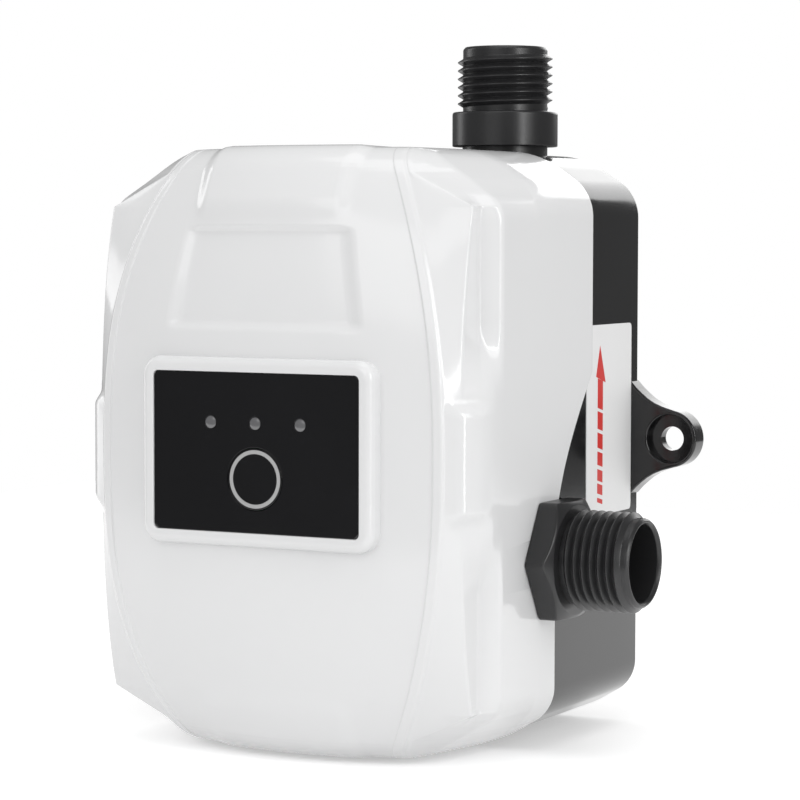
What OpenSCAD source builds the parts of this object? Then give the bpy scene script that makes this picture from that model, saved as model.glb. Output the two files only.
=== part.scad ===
// Wall-mounted shower pump.
// The origin lies on the wall, midway between the two ear holes. The front faces -Y and +Z is up.

/* [Case] */
// Width of the front shell
case_w = 93; // [88:0.5:104]
// Height of the front shell
case_h = 126.8; // [122:0.2:140]
// Depth from the wall to the middle of the front face
case_d = 88; // [86:0.5:98]
// How far the middle of the case lies below the ear holes
case_drop = 0.7; // [0:0.1:2]
// Wall of the shell and of the casing
wall = 2.5; // [2:0.1:3]
// Step from the shell's side in to the casing's side
casing_step = 0.5; // [0.2:0.1:0.8]
// Depth of the casing along its top
casing_top_d = 26.3; // [24.5:0.1:30]
// Radius of the case's side corners
corner_side_r = 10; // [8:0.5:13]
// Radius where the corner runs into the top
corner_top_r = 22; // [16:0.5:26]
// Slope of the cut corners, measured from the side
corner_angle = 57; // [50:1:62]
// Radius of the side corners at the front of the shell
nose_side_r = 6.5; // [5:0.5:8]
// Radius of the top corners at the front of the shell
nose_top_r = 12; // [10:0.5:15]

/* [Front face] */
// How far the edge of the front face lies in from the shell's side
bead_inset = 6.4; // [5:0.2:9]
// How far that edge lies behind the middle of the face
face_bow = 3.8; // [2:0.2:5]
// How far the edge draws in at the top and bottom
bead_draw = 15.2; // [10:0.2:18]
// How far the edge falls back at the top and bottom
bead_fall = 10.2; // [9:0.2:12]
// How far the middle of the face falls back at the top and bottom
face_fall = 9.5; // [6:0.2:11]
// Rounding of the face into the top
crown_r = 5; // [3:0.5:6]
// Rise of the broad middle band at the top and bottom
band_rise = 1.2; // [0.4:0.1:1.6]
// Half the width of that band at the top
band_half_w = 15.6; // [12:0.2:17]
// Depth of the shallow hollow above the panel
hollow_depth = 1; // [0.4:0.1:1.4]
// How far the floor of the long side pockets lies in from the shell's side
pocket_depth = 4.2; // [3.6:0.2:5]
// Half the height of the bridges between the side pockets
bridge_half_h = 9.5; // [7:0.5:12]

/* [Panel] */
// Width of the label
label_w = 48.2; // [47:0.2:52]
// Height of the label
label_h = 32.6; // [32:0.2:36]
// Thickness of the label
label_t = 1.1; // [0.8:0.1:1.4]
// Width of the frame round the label
bezel_w = 3; // [2:0.1:4]
// How far the frame stands out from the middle of the face
bezel_rise = 1.9; // [1.4:0.1:2.4]
// How far the label lies behind the frame's front
label_sink = 0.4; // [0.2:0.1:0.8]
// Height of the label's middle above the case's middle
label_z = 1.3; // [0:0.1:3]
// Diameter of the round key
button_d = 12.6; // [11.6:0.1:13.4]
// Outer diameter of the ring on the key
ring_d = 11.9; // [11:0.1:12.2]
// Width of the ring's line
ring_line = 0.8; // [0.5:0.1:1.1]
// How far the key's centre lies below the label's middle
button_drop = 5.3; // [4.6:0.1:6]
// Travel of the key
button_travel = 0.35; // [0.2:0.05:0.4]
// Diameter of the lenses
lens_d = 2.6; // [2:0.1:3]
// Distance between the lenses
lens_pitch = 10.5; // [9:0.1:12]
// Height of the lenses above the label's middle
lens_rise = 6; // [5.4:0.1:8]

/* [Fittings] */
// Major diameter of both pipe threads
thread_d = 20.955; // [20.955:0.001:20.955]
// Pitch of both pipe threads
thread_pitch = 1.814; // [1.814:0.001:1.814]
// Depth of the pipe thread
thread_depth = 1.162; // [1.162:0.001:1.162]
// Length of the threaded ends
thread_l = 14.3; // [13:0.1:16]
// Bore of both fittings
fitting_bore = 16; // [15:0.1:16.6]
// Diameter of the outlet's round collar
collar_d = 23.3; // [22:0.1:24.4]
// Height of the outlet's round collar
collar_h = 7.6; // [6:0.1:10]
// Diameter of the outlet's neck
neck_d = 18.8; // [17:0.1:19.4]
// Visible height of the outlet's neck
neck_h = 1.6; // [1:0.1:3]
// Distance of the outlet from the case's centre plane
outlet_x = 19; // [17:0.1:20]
// Distance of the outlet's axis from the wall
outlet_wall = 13; // [12.6:0.1:13.6]
// Distance of the inlet's axis from the wall
inlet_wall = 46.3; // [45.5:0.1:47]
// How far the inlet's axis lies below the ear holes
inlet_drop = 22.5; // [21:0.1:23]
// Size of the inlet's hexagon across flats
hex_af = 24; // [24:0.1:25]
// Length of the inlet's hexagon
hex_l = 6.3; // [5:0.1:8]
// Outer diameter of the inlet's spigot
spigot_d = 19; // [18.4:0.1:19.4]

/* [Ears] */
// Distance between the two ear holes
ear_spacing = 110.4; // [109:0.2:116]
// Diameter of the ear holes
ear_hole_d = 5.3; // [4.5:0.1:6]
// Diameter of the round sinking round each hole
ear_sink_d = 10.6; // [9:0.1:11.4]
// Depth of that sinking
ear_sink = 2; // [1:0.1:2.6]
// Thickness of the ears
ear_t = 4.6; // [4:0.1:6]
// Radius of the ears' ends
ear_r = 6.3; // [6:0.1:8]
// Half the height of the ears where they meet the casing
ear_root = 12.4; // [10:0.1:15]

/* [Pump] */
// Diameter of the impeller
impeller_d = 46; // [42:0.5:48]
// Width of the water space in the chamber
chamber_w = 13; // [12.6:0.1:14]
// Wall of the chamber
chamber_wall = 2.5; // [2:0.1:3]
// Bore of the rising pipe
riser_bore = 13; // [12.6:0.1:13.6]
// Outer diameter of the rotor
rotor_d = 20; // [18:0.1:21]
// Length of the rotor
rotor_l = 30; // [26:0.5:31]
// Diameter of the shaft
shaft_d = 5; // [4:0.1:5.4]
// Outer diameter of the stator
stator_d = 51; // [50:0.1:51.6]
// Outer diameter of the motor housing
motor_d = 56; // [56:0.1:57]
// Lift of the flow float
float_lift = 8; // [5:0.5:9]

/* [Board and fasteners] */
// Width of the circuit board
board_w = 46; // [45:0.5:48]
// Height of the circuit board
board_h = 34; // [33:0.5:36]
// Thickness of the circuit board
board_t = 1.6; // [1:0.1:2]
// Shank diameter of the case screws
case_screw_d = 3; // [2.5:0.1:3.2]
// Length of the case screws under the head
case_screw_l = 32; // [30:0.5:34]
// Shank diameter of the chamber and motor screws
small_screw_d = 3; // [2.5:0.1:3.2]
// Hole of the supply cord's grommet
cord_d = 5.2; // [4:0.1:6]

/* [Label on the casing] */
// Width of the arrow label, front to back
sticker_w = 18.4; // [16:0.1:18.6]
// Height of the arrow label
sticker_h = 40; // [34:0.5:41]

/* [Hidden] */
$fn = 64;

// Overrun of cuts, clearance between loose pieces and clearance of a running fit
cut = 1;
gap = 0.3;
run = 0.05;

// Case
half_w = case_w / 2;
half_h = case_h / 2;
side_flat_h = 0.776 * half_h;
nose_flat_h = 0.757 * half_h;
casing_low_d = inlet_wall;
casing_half_w = half_w - casing_step;
// Height at which the sloped edge between shell and casing begins, and its drop
parting_top_z = 15.5;
parting_drop = 36;
lip_l = 3;
lip_t = 1.4;
lip_play = 0.2;

// Shell shape. Shares follow half the height of the case.
level_shares = [0, 0.08, 0.142, 0.166, 0.19, 0.221, 0.2555, 0.284, 0.312, 0.36, 0.41, 0.44, 0.52,
    0.61, 0.69, 0.725, 0.75, 0.775, 0.792, 0.808, 0.828, 0.855, 0.883, 0.915, 0.9385, 0.962,
    0.981, 0.994, 1];
hollow_low_share = 0.41;
hollow_high_share = 0.75;
band_start_share = 0.74;
band_full_share = 0.84;
pocket_end_share = 0.79;
pocket_gone_share = 0.86;
flank_cut_share = 0.808;
flank_cut_angle = 63.3;
ramp_w = 2.6;
flank_inset = pocket_depth - 0.4;
flank_depth = 7.1;
flank_fall = 4.7;
crease_depth = 14.9;
side_front_depth = crease_depth + 2.4;
side_front_fall = 1.5;
taper_depth = 36;
bead_w = 1.6;

// Panel
face_y = -case_d;
bezel_y = face_y - bezel_rise;
label_y = bezel_y + label_sink;
bezel_r = 4;
label_r = 1.2;
panel_z = label_z - case_drop;
button_z = panel_z - button_drop;
lens_z = panel_z + lens_rise;
key_t = 0.9;
key_stem_d = 3.6;
key_play = 0.15;
ring_t = 0.12;
pipe_d = lens_d - 0.6;
lens_t = 0.7;

// Board
board_y = face_y + wall + 1.9;
board_back = board_y + board_t;
board_z = panel_z;
board_post_x = board_w / 2 - 3;
board_post_z = board_h / 2 - 3;
board_post_d = 5;
board_screw_d = 2;
tact_w = 6;
tact_t = 1.4;
plunger_d = 3;
plunger_y = board_y - tact_t - 0.9;
led_w = 2;
led_t = 1;
capacitor_r = 3.9;
capacitor_h = 9.5;
capacitor_pitch = 11.5;
capacitor_shift = 1.6;
capacitor_edge = 6;
plug_w = 6;
plug_l = 12;
plug_h = 7;
plug_wall = 1.2;
plug_x = board_w / 2 - 4;
plug_drop = 8;

// Fittings
inlet_y = -inlet_wall;
inlet_z = -inlet_drop;
outlet_y = -outlet_wall;
case_top_z = half_h - case_drop;
casing_top_z = case_top_z - casing_step;
collar_z = casing_top_z + neck_h + 0.3;
outlet_thread_z = collar_z + collar_h;
outlet_end_z = outlet_thread_z + thread_l;
hex_x = half_w + 0.4;
inlet_thread_x = hex_x + hex_l;
inlet_end_x = inlet_thread_x + thread_l;
thread_r = thread_d / 2;
root_r = thread_r - thread_depth;
crest_flat = 0.3;
bore_chamfer = 0.6;
groove_w = 1.3;
groove_depth = 0.8;
groove_start = 3;
socket_play = 0.2;
filter_step = 1;
filter_h = 3;
filter_play = 0.1;
filter_wall = 1;
filter_pitch = 2.6;
filter_bar = 0.7;
seal_play = 0.02;
seal_r = (groove_depth + socket_play) / 2 - seal_play;

// Pump along its axis, which runs along X through the inlet
chamber_x0 = outlet_x - chamber_w / 2;
chamber_x1 = outlet_x + chamber_w / 2;
gasket_t = 1;
cover_t = 3.5;
cover_x = chamber_x1 + gasket_t;
inlet_spigot_x = cover_x + cover_t + 1;
socket_l = 10;
spiral_r = impeller_d / 2 + 2.5;
spiral_growth = 5;
throat_r = inlet_wall - outlet_wall + riser_bore / 2;
boss_r = 3.3;
motor_boss_l = 11;
boss_out = 2.9;
screw_head_r = 2.6;
screw_head_h = 2;
slot_l = 2.8;
slot_w = 0.6;
slot_depth = 1.2;
cover_screw_l = 14;
motor_screw_l = 9.5;
cover_screw_angles = [68, 114, 165, 212, 262, 318];
motor_screw_angles = [40, 140, 188, 236];
eye_r = 8.5;
eye_wall = 1.3;
hub_r = 5;
shroud_t = 1.5;
vane_h = 5;
impeller_x = chamber_x0 + 1.7;
can_r = rotor_d / 2 + 1.2;
can_wall = 1;
can_flange_r = 17;
can_flange_t = 2.5;
can_groove = 1.5;
can_seal_r = can_flange_r - 2.4;
volute_x0 = chamber_x0 - chamber_wall;
can_flange_x = volute_x0 - can_flange_t;
bush_r = 4.3;
bush_l = 5;
plate_t = 3;
plate_x = can_flange_x - 2.5;
washer_t = 1;
rotor_x1 = plate_x - 0.3 - washer_t - 0.6;
rotor_x0 = rotor_x1 - rotor_l;
rear_bush_x = rotor_x0 - 1.5 - bush_l;
can_end_x = rear_bush_x - 2.2;
shaft_x0 = rear_bush_x + 0.5;
shaft_x1 = impeller_x + 2 * shroud_t + vane_h - 1;
core_l = rotor_l - 4;
core_x0 = rotor_x0 + 2;
teeth = 6;
tooth_w = 7;
yoke_t = 3.4;
coil_over = 4;
motor_wall = 2.3;
motor_play = 0.05;
lug_t = 3;
lug_half_w = boss_r - 0.6;
lug_step = 0.4;
motor_x1 = volute_x0;
motor_x0 = can_end_x - 3.4;

// Rising pipe and float
riser_r = riser_bore / 2;
riser_wall = 2.4;
socket_r = 10;
outlet_spigot_r = 7.5;
outlet_spigot_bore = 12;
socket_top_z = casing_top_z - wall - 4;
socket_low_z = socket_top_z - 14;
spigot_low_z = socket_low_z + 2.3;
seat_z = -2;
seat_t = 1.6;
float_r = 5.5;
float_h = 9;
retainer_z = seat_z + seat_t + 0.2 + float_h + float_lift + 0.3;
retainer_t = 2;
rest_w = 12;
rest_h = 8;
rest_z = 20;
reed_t = 4;
reed_w = 6;
reed_l = 15;
reed_z = 14;

// Screw posts of the case
post_inset = 10;
post_drop = 6.6;
post_x = half_w - post_inset;
post_z = slope_h(post_x) - post_drop;
post_r = 3.7;
post_l = 12;
head_r = 2.9;
head_h = 2;
upper_head_y = -3;
lower_head_y = -casing_low_d + casing_top_d + upper_head_y;

// Ears, as shares of their reach and of half their height at the root
ear_reach = ear_spacing / 2 - casing_half_w;
ear_outline_shares = [[0, 1], [0.14, 0.885], [0.27, 0.8], [0.42, 0.71], [0.6, 0.63], [0.8, 0.57]];

function clamp01(t) = min(1, max(0, t));
function smooth(t) = let (c = clamp01(t)) c * c * (3 - 2 * c);
function mix(a, b, t) = a + (b - a) * t;

// Half the width at height h from the middle of an outline set in by i, whose side corners
// start at h1 with radius r1 and whose top corners have radius r2
function contour_x(h, i, h1, r1, r2) =
    let (s = sin(corner_angle), c = cos(corner_angle), cx1 = half_w - r1, h2 = half_h - r2,
        cx2 = (cx1 * c + h1 * s + r1 - r2 - h2 * s) / c,
        ra = r1 - i, rb = r2 - i)
    h <= h1 ? half_w - i
    : h <= h1 + ra * s ? cx1 + sqrt(max(0, ra * ra - pow(h - h1, 2)))
    : h <= h2 + rb * s ? cx1 + ra * c - (h - h1 - ra * s) * tan(corner_angle)
    : cx2 + sqrt(max(0, rb * rb - pow(min(h, h2 + rb) - h2, 2)));

// Height at which the sloped corner of the outline reaches x
function slope_h(x) = side_flat_h + corner_side_r * sin(corner_angle)
    + (half_w - corner_side_r + corner_side_r * cos(corner_angle) - x) / tan(corner_angle);

function rear_x(h, i) = contour_x(h, i, side_flat_h, corner_side_r, corner_top_r);
function nose_x(h, i) = contour_x(h, i, nose_flat_h, nose_side_r, nose_top_r);

// One corner of the outline, from the side to the top, for an outline set in by i
function corner_points(i) =
    let (s = sin(corner_angle), c = cos(corner_angle),
        cx1 = half_w - corner_side_r, h2 = half_h - corner_top_r,
        cx2 = (cx1 * c + side_flat_h * s + corner_side_r - corner_top_r - h2 * s) / c)
    concat([for (k = [0 : 6]) let (a = corner_angle * k / 6)
            [cx1 + (corner_side_r - i) * cos(a), side_flat_h + (corner_side_r - i) * sin(a)]],
        [for (k = [0 : 6]) let (a = corner_angle + (90 - corner_angle) * k / 6)
            [cx2 + (corner_top_r - i) * cos(a), h2 + (corner_top_r - i) * sin(a)]]);

module case_outline(i) {
    p = corner_points(i);
    n = len(p);
    translate([0, -case_drop])
        polygon(concat(p,
            [for (k = [n - 1 : -1 : 0]) [-p[k][0], p[k][1]]],
            [for (k = [0 : n - 1]) [-p[k][0], -p[k][1]]],
            [for (k = [n - 1 : -1 : 0]) [p[k][0], -p[k][1]]]));
}

// A flat shape in X and Z, carried from depth y forward by l
module forward(y, l) translate([0, y, 0]) rotate([90, 0, 0]) linear_extrude(l) children();
// A flat shape in Y and Z, carried along X from x by l
module along_x(x, l) translate([x, 0, 0]) rotate([90, 0, 90]) linear_extrude(l) children();
// Round bars along each axis
module bar_x(x, y, z, r, l) translate([x, y, z]) rotate([0, 90, 0]) cylinder(h = l, r = r);
module bar_y(x, y, z, r, l) translate([x, y, z]) rotate([90, 0, 0]) cylinder(h = l, r = r);
module bar_z(x, y, z, r, l) translate([x, y, z]) cylinder(h = l, r = r);

// Depth of the edge between shell and casing at height z
function parting_y(z) =
    -casing_top_d - (casing_low_d - casing_top_d) * sin(90 * clamp01((parting_top_z - z) / parting_drop));

all_shares = concat([for (k = [len(level_shares) - 1 : -1 : 1]) level_shares[k]],
    [for (t = level_shares) -t]);

// Everything in front of the parting edge, moved forward by s
module before_parting(s) {
    along_x(-case_w, 2 * case_w)
        polygon(concat([[-2 * case_d, case_h], [-casing_top_d - s, case_h]],
            [for (t = all_shares) let (z = t * half_h - case_drop) [parting_y(z) - s, z]],
            [[-casing_low_d - s, -case_h], [-2 * case_d, -case_h]]));
}

// The front shell is built up from rings of points, one for each share of its height.

// Depth that the top's rounding adds at height h
function crown(h, hh) =
    let (t = clamp01((h - hh + crown_r) / crown_r)) crown_r * (1 - sqrt(max(0, 1 - t * t)));
function bead_x(h, hh) = half_w - bead_inset - bead_draw * pow(h / hh, 2.5);
function bead_y(h, hh) = face_y + face_bow + bead_fall * pow(h / hh, 3.6) + crown(h, hh);
function middle_y(h, hh) = face_y + face_fall * pow(h / hh, 4) + crown(h, hh);
function band_weight(h, hh) =
    smooth((h / hh - band_start_share) / (band_full_share - band_start_share));
function hollow_weight(h, hh, up) = up > 0
    ? smooth((h / hh - hollow_low_share) / 0.03) * smooth((hollow_high_share - h / hh) / 0.03) : 0;
function band_x(h, hh) =
    h / hh > hollow_high_share ? band_half_w
    : band_half_w + 1.2
        + 3.7 * clamp01((hollow_high_share - h / hh) / (hollow_high_share - hollow_low_share));
function flank_x(h, hh) = half_w - flank_inset
    - max(0, h - flank_cut_share * hh) * tan(flank_cut_angle);
function flank_y(h, hh) =
    face_y + flank_depth + flank_fall * pow(min(1, h / hh / flank_cut_share), 3) + crown(h, hh);
function pocket_weight(h, hh) =
    smooth((pocket_gone_share - h / hh) / (pocket_gone_share - pocket_end_share));
function bridge_weight(h, late) = 1 - smooth((h - bridge_half_h - late) / (2.5 + late));
function side_front_y(h, hh) = face_y + side_front_depth
    + side_front_fall * smooth((h / hh - 0.76) / 0.15) + 0.8 * crown(h, hh);

// Half a ring at height h above (up = 1) or below (up = -1) the middle, set in by i
function ring_half(h, up, i) =
    let (hh = half_h - i, z = up * h - case_drop, f = i > 0 ? 0 : 1,
        sx = rear_x(h, i), nx = nose_x(h, i),
        m = middle_y(h, hh) + i, bx = min(bead_x(h, hh) - i, nx - 1.4), by = bead_y(h, hh) + i,
        bow = by - m,
        d = f * (hollow_depth * hollow_weight(h, hh, up) - band_rise * band_weight(h, hh)),
        zb = z + up * f * band_rise * smooth((h / hh - 0.9) / 0.1),
        x2 = min(band_x(h, hh), bx - 6), x3 = x2 + ramp_w, x4 = (x3 + bx - bead_w) / 2,
        fx = min(nx - 0.3, max(bx + 1, flank_x(h, hh) - i)),
        fy = max(by + 0.5, flank_y(h, hh) + i),
        sy = side_front_y(h, hh) + i,
        pw = pocket_weight(h, hh),
        qx = mix((fx + nx) / 2, fx - 0.4, pw), qy = mix((fy + sy) / 2, face_y + crease_depth + i, pw),
        b1 = bridge_weight(h, 0), b2 = bridge_weight(h, 2.5),
        ry = parting_y(z) + (i > 0 ? cut : 0))
    [[0, m + d, zb],
        [x2 / 2, m + d + bow * pow(x2 / 2 / bx, 2), zb],
        [x2, m + d + bow * pow(x2 / bx, 2), zb],
        [x3, m + bow * pow(x3 / bx, 2), z],
        [x4, m + bow * pow(x4 / bx, 2), z],
        [bx - bead_w, m + bow * pow((bx - bead_w) / bx, 2), z],
        [bx, by, z],
        [mix((bx + fx) / 2, half_w - i - 3.1, b1), mix((by + fy) / 2, face_y + i + 5.6, b1), z],
        [mix(fx, half_w - i - 0.8, b1), mix(fy, face_y + i + 9, b1), z],
        [mix(qx, half_w - i - 0.1, b2), mix(qy, face_y + i + 12.5, b2), z],
        [nx, sy, z],
        [sx, face_y + taper_depth, z],
        [sx, ry, z],
        [x3, ry, z],
        [x2, ry, z]];

function whole_ring(half) =
    concat(half, [for (k = [len(half) - 1 : -1 : 1]) [-half[k][0], half[k][1], half[k][2]]]);

// The rings joined to one closed solid, set in by i. The ends are closed in strips.
module ring_stack(i) {
    hh = half_h - i;
    rings = [for (t = all_shares) whole_ring(ring_half(abs(t) * hh, t < 0 ? -1 : 1, i))];
    n = len(rings[0]);
    m = len(rings);
    sides = [for (a = [0 : m - 2]) for (b = [0 : n - 1])
        let (p = a * n + b, q = a * n + (b + 1) % n)
        each [[p, q, p + n], [q, q + n, p + n]]];
    function mirrored(k) = k == 0 ? 0 : n - k;
    function half_end(o) = concat(
        [[0, 1, 14], [1, 2, 14], [2, 3, 13], [2, 13, 14]],
        [for (k = [3 : 11]) [k, k + 1, 13]]);
    function end_faces(o) = concat(
        [for (t = half_end(o)) [o + t[0], o + t[1], o + t[2]]],
        [for (t = half_end(o)) [o + mirrored(t[0]), o + mirrored(t[2]), o + mirrored(t[1])]],
        [[o, o + 14, o + mirrored(14)]]);
    function turned(faces) = [for (t = faces) [t[0], t[2], t[1]]];
    polyhedron(points = [for (r = rings) each r],
        faces = concat(sides, turned(end_faces(0)), end_faces((m - 1) * n)), convexity = 10);
}

module panel_plate(w, h, r, y, l)
    forward(y, l) translate([0, panel_z]) {
        square([w - 2 * r, h], center = true);
        square([w, h - 2 * r], center = true);
        for (sx = [-1, 1], sz = [-1, 1]) translate([sx * (w / 2 - r), sz * (h / 2 - r)]) circle(r);
    }

module front_shell() color("white") {
    difference() {
        union() {
            difference() {
                ring_stack(0);
                ring_stack(wall);
            }
            panel_plate(label_w + 2 * bezel_w, label_h + 2 * bezel_w, bezel_r,
                face_y + wall, wall + bezel_rise);
            // Posts that take the case screws
            for (sx = [-1, 1]) {
                bar_y(sx * post_x, -casing_top_d - gap, post_z - case_drop, post_r, post_l);
                bar_y(sx * post_x, -casing_low_d - gap, -post_z - case_drop, post_r, post_l);
            }
            // Posts that carry the circuit board
            for (sx = [-1, 1], sz = [-1, 1])
                bar_y(sx * board_post_x, board_y, board_z + sz * board_post_z, board_post_d / 2,
                    board_y - face_y - 0.4);
        }
        panel_plate(label_w + 2 * key_play, label_h + 2 * key_play, label_r, label_y + label_t,
            cut + label_t + label_sink);
        bar_y(0, face_y + wall + cut, button_z, key_stem_d / 2 + 0.4, wall + 2 * cut + bezel_rise);
        bar_y(0, label_y + label_t + key_t, button_z, button_d / 2 + gap, key_t);
        for (k = [-1 : 1])
            bar_y(k * lens_pitch, face_y + wall + cut, lens_z, pipe_d / 2 + 0.15, wall + 2 * cut + bezel_rise);
        bar_x(half_w - 2 * wall, inlet_y, inlet_z, spigot_d / 2 + gap, 4 * wall);
        for (sx = [-1, 1]) {
            bar_y(sx * post_x, -casing_top_d + cut, post_z - case_drop, case_screw_d / 2, post_l);
            bar_y(sx * post_x, -casing_low_d + cut, -post_z - case_drop, case_screw_d / 2, post_l);
        }
        for (sx = [-1, 1], sz = [-1, 1])
            bar_y(sx * board_post_x, board_y + cut, board_z + sz * board_post_z, board_screw_d / 2 + 0.05, cut + 3.2);
    }
}

module ear_plate() {
    p = [for (s = ear_outline_shares) [casing_half_w + s[0] * ear_reach, s[1] * ear_root]];
    n = len(p);
    polygon(concat([[casing_half_w - wall, ear_root]], p,
        [[ear_spacing / 2 + 0.15 * ear_r, 0.985 * ear_r], [ear_spacing / 2 + 0.15 * ear_r, -0.985 * ear_r]],
        [for (k = [n - 1 : -1 : 0]) [p[k][0], -p[k][1]]], [[casing_half_w - wall, -ear_root]]));
    translate([ear_spacing / 2, 0]) circle(ear_r);
}

module rear_casing() color("#1c1c1e") {
    difference() {
        union() {
            difference() {
                forward(0, casing_low_d) case_outline(casing_step);
                before_parting(0);
                forward(-wall, casing_low_d) case_outline(casing_step + wall);
            }
            // Lip that locates the shell
            difference() {
                forward(-casing_top_d + 4, casing_low_d - casing_top_d + 4 + lip_l) case_outline(wall + lip_play);
                forward(-casing_top_d + 4 + cut, casing_low_d + lip_l) case_outline(wall + lip_play + lip_t);
                before_parting(lip_l);
                for (sx = [-1, 1]) {
                    bar_y(sx * post_x, -casing_top_d, post_z - case_drop, post_r + gap, lip_l + cut);
                    bar_y(sx * post_x, -casing_low_d, -post_z - case_drop, post_r + gap, lip_l + cut);
                }
            }
            for (sx = [-1, 1]) {
                forward(0, ear_t) scale([sx, 1]) ear_plate();
                bar_y(sx * post_x, 0, post_z - case_drop, post_r, casing_top_d);
                bar_y(sx * post_x, 0, -post_z - case_drop, post_r, casing_low_d);
            }
            // Cradle of the motor
            for (x = [motor_x0 + 8, motor_x1 - 12])
                difference() {
                    translate([x, inlet_y + 0.45 * motor_d, inlet_z - 0.36 * motor_d])
                        cube([wall, -inlet_y - 0.45 * motor_d - wall / 2, 0.72 * motor_d]);
                    bar_x(x - cut, inlet_y, inlet_z, motor_d / 2 + run, wall + 2 * cut);
                }
            // Rest behind the rising pipe
            translate([outlet_x - rest_w / 2, outlet_y + riser_r + riser_wall + run, rest_z])
                cube([rest_w, -outlet_y - riser_r - riser_wall - run - wall / 2, rest_h]);
        }
        for (sx = [-1, 1]) {
            bar_y(sx * ear_spacing / 2, cut, 0, ear_hole_d / 2, ear_t + 2 * cut);
            bar_y(sx * ear_spacing / 2, -ear_t + ear_sink, 0, ear_sink_d / 2, ear_sink + cut);
            bar_y(sx * post_x, cut, post_z - case_drop, case_screw_d / 2 + gap, casing_top_d + 2 * cut);
            bar_y(sx * post_x, cut, -post_z - case_drop, case_screw_d / 2 + gap, casing_low_d + 2 * cut);
            bar_y(sx * post_x, cut, post_z - case_drop, head_r + gap, cut - upper_head_y);
            bar_y(sx * post_x, cut, -post_z - case_drop, head_r + gap, cut - lower_head_y);
        }
        bar_z(outlet_x, outlet_y, casing_top_z - 2 * wall, neck_d / 2 + gap, 3 * wall);
        bar_x(half_w - 3 * wall, inlet_y, inlet_z, spigot_d / 2 + gap, 4 * wall);
        bar_z(grommet_x, grommet_y, casing_foot_z - cut, grommet_r, 2 * wall);
    }
}

casing_foot_z = -half_h + casing_step - case_drop;
grommet_x = -20;
grommet_y = -13;
grommet_r = cord_d / 2 + 1.6;

// Thread ridges as a profile in radius and height, from 0 up to l
module thread_body(l) {
    turns = floor((l - crest_flat - 0.6) / thread_pitch);
    ridge = [for (k = [0 : turns - 1])
        let (z = 0.5 + k * thread_pitch)
        each [[root_r, z], [thread_r, z + (thread_pitch - crest_flat) / 2 - 0.05],
            [thread_r, z + (thread_pitch + crest_flat) / 2 - 0.05], [root_r, z + thread_pitch - 0.1]]];
    rotate_extrude()
        polygon(concat([[0, 0], [root_r, 0]], ridge, [[root_r, l - 0.6], [root_r - 0.6, l], [0, l]]));
}

module outlet_fitting() color("#202022")
    translate([outlet_x, outlet_y, 0])
        difference() {
            union() {
                translate([0, 0, outlet_thread_z]) thread_body(thread_l);
                translate([0, 0, collar_z]) cylinder(h = collar_h, r = collar_d / 2);
                translate([0, 0, socket_top_z + gap]) cylinder(h = collar_z - socket_top_z - gap, r = neck_d / 2);
                translate([0, 0, spigot_low_z]) cylinder(h = socket_top_z + 2 * gap - spigot_low_z, r = outlet_spigot_r);
            }
            translate([0, 0, spigot_low_z - cut])
                cylinder(h = outlet_end_z - spigot_low_z, r = outlet_spigot_bore / 2);
            translate([0, 0, collar_z]) cylinder(h = outlet_end_z - collar_z + cut, r = fitting_bore / 2);
            translate([0, 0, outlet_end_z - bore_chamfer])
                cylinder(h = 2 * bore_chamfer, r1 = fitting_bore / 2, r2 = fitting_bore / 2 + 2 * bore_chamfer);
            translate([0, 0, spigot_low_z + groove_start]) seal_groove(outlet_spigot_r);
        }

// Groove for a round seal in a spigot of radius r, and the seal itself, both from height 0
module seal_groove(r)
    difference() {
        cylinder(h = groove_w, r = r + cut);
        translate([0, 0, -cut]) cylinder(h = groove_w + 2 * cut, r = r - groove_depth);
    }

module round_seal(r)
    translate([0, 0, groove_w / 2]) rotate_extrude()
        translate([r - groove_depth + seal_r + seal_play, 0]) circle(seal_r);

module outlet_seal() color("#333333")
    translate([outlet_x, outlet_y, spigot_low_z + groove_start]) round_seal(outlet_spigot_r);

module inlet_fitting() color("#202022")
    translate([0, inlet_y, inlet_z]) rotate([0, 90, 0])
        difference() {
            union() {
                translate([0, 0, inlet_thread_x]) thread_body(thread_l);
                translate([0, 0, hex_x])
                    linear_extrude(hex_l) rotate(90) circle(hex_af / 2 / cos(30), $fn = 6);
                translate([0, 0, inlet_spigot_x]) cylinder(h = hex_x - inlet_spigot_x + gap, r = spigot_d / 2);
            }
            translate([0, 0, inlet_spigot_x - cut])
                cylinder(h = inlet_end_x - inlet_spigot_x + 2 * cut, r = fitting_bore / 2);
            translate([0, 0, inlet_end_x - bore_chamfer])
                cylinder(h = 2 * bore_chamfer, r1 = fitting_bore / 2, r2 = fitting_bore / 2 + 2 * bore_chamfer);
            translate([0, 0, inlet_spigot_x + groove_start]) seal_groove(spigot_d / 2);
        }

module inlet_seal() color("#333333")
    translate([inlet_spigot_x + groove_start, inlet_y, inlet_z]) rotate([0, 90, 0])
        round_seal(spigot_d / 2);

module inlet_filter() color("#c8c8cc")
    translate([inlet_spigot_x + filter_step, inlet_y, inlet_z]) rotate([0, 90, 0]) {
        difference() {
            cylinder(h = filter_h, r = fitting_bore / 2 - filter_play);
            translate([0, 0, -cut]) cylinder(h = filter_h + 2 * cut, r = fitting_bore / 2 - filter_play - filter_wall);
        }
        intersection() {
            translate([0, 0, filter_step])
                cylinder(h = filter_bar, r = fitting_bore / 2 - filter_play - filter_wall / 2);
            for (k = [-2 : 2], a = [0, 90])
                rotate(a) translate([-fitting_bore / 2, k * filter_pitch - filter_bar / 2, 0])
                    cube([fitting_bore, filter_bar, 2 * filter_h]);
        }
    }

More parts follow.
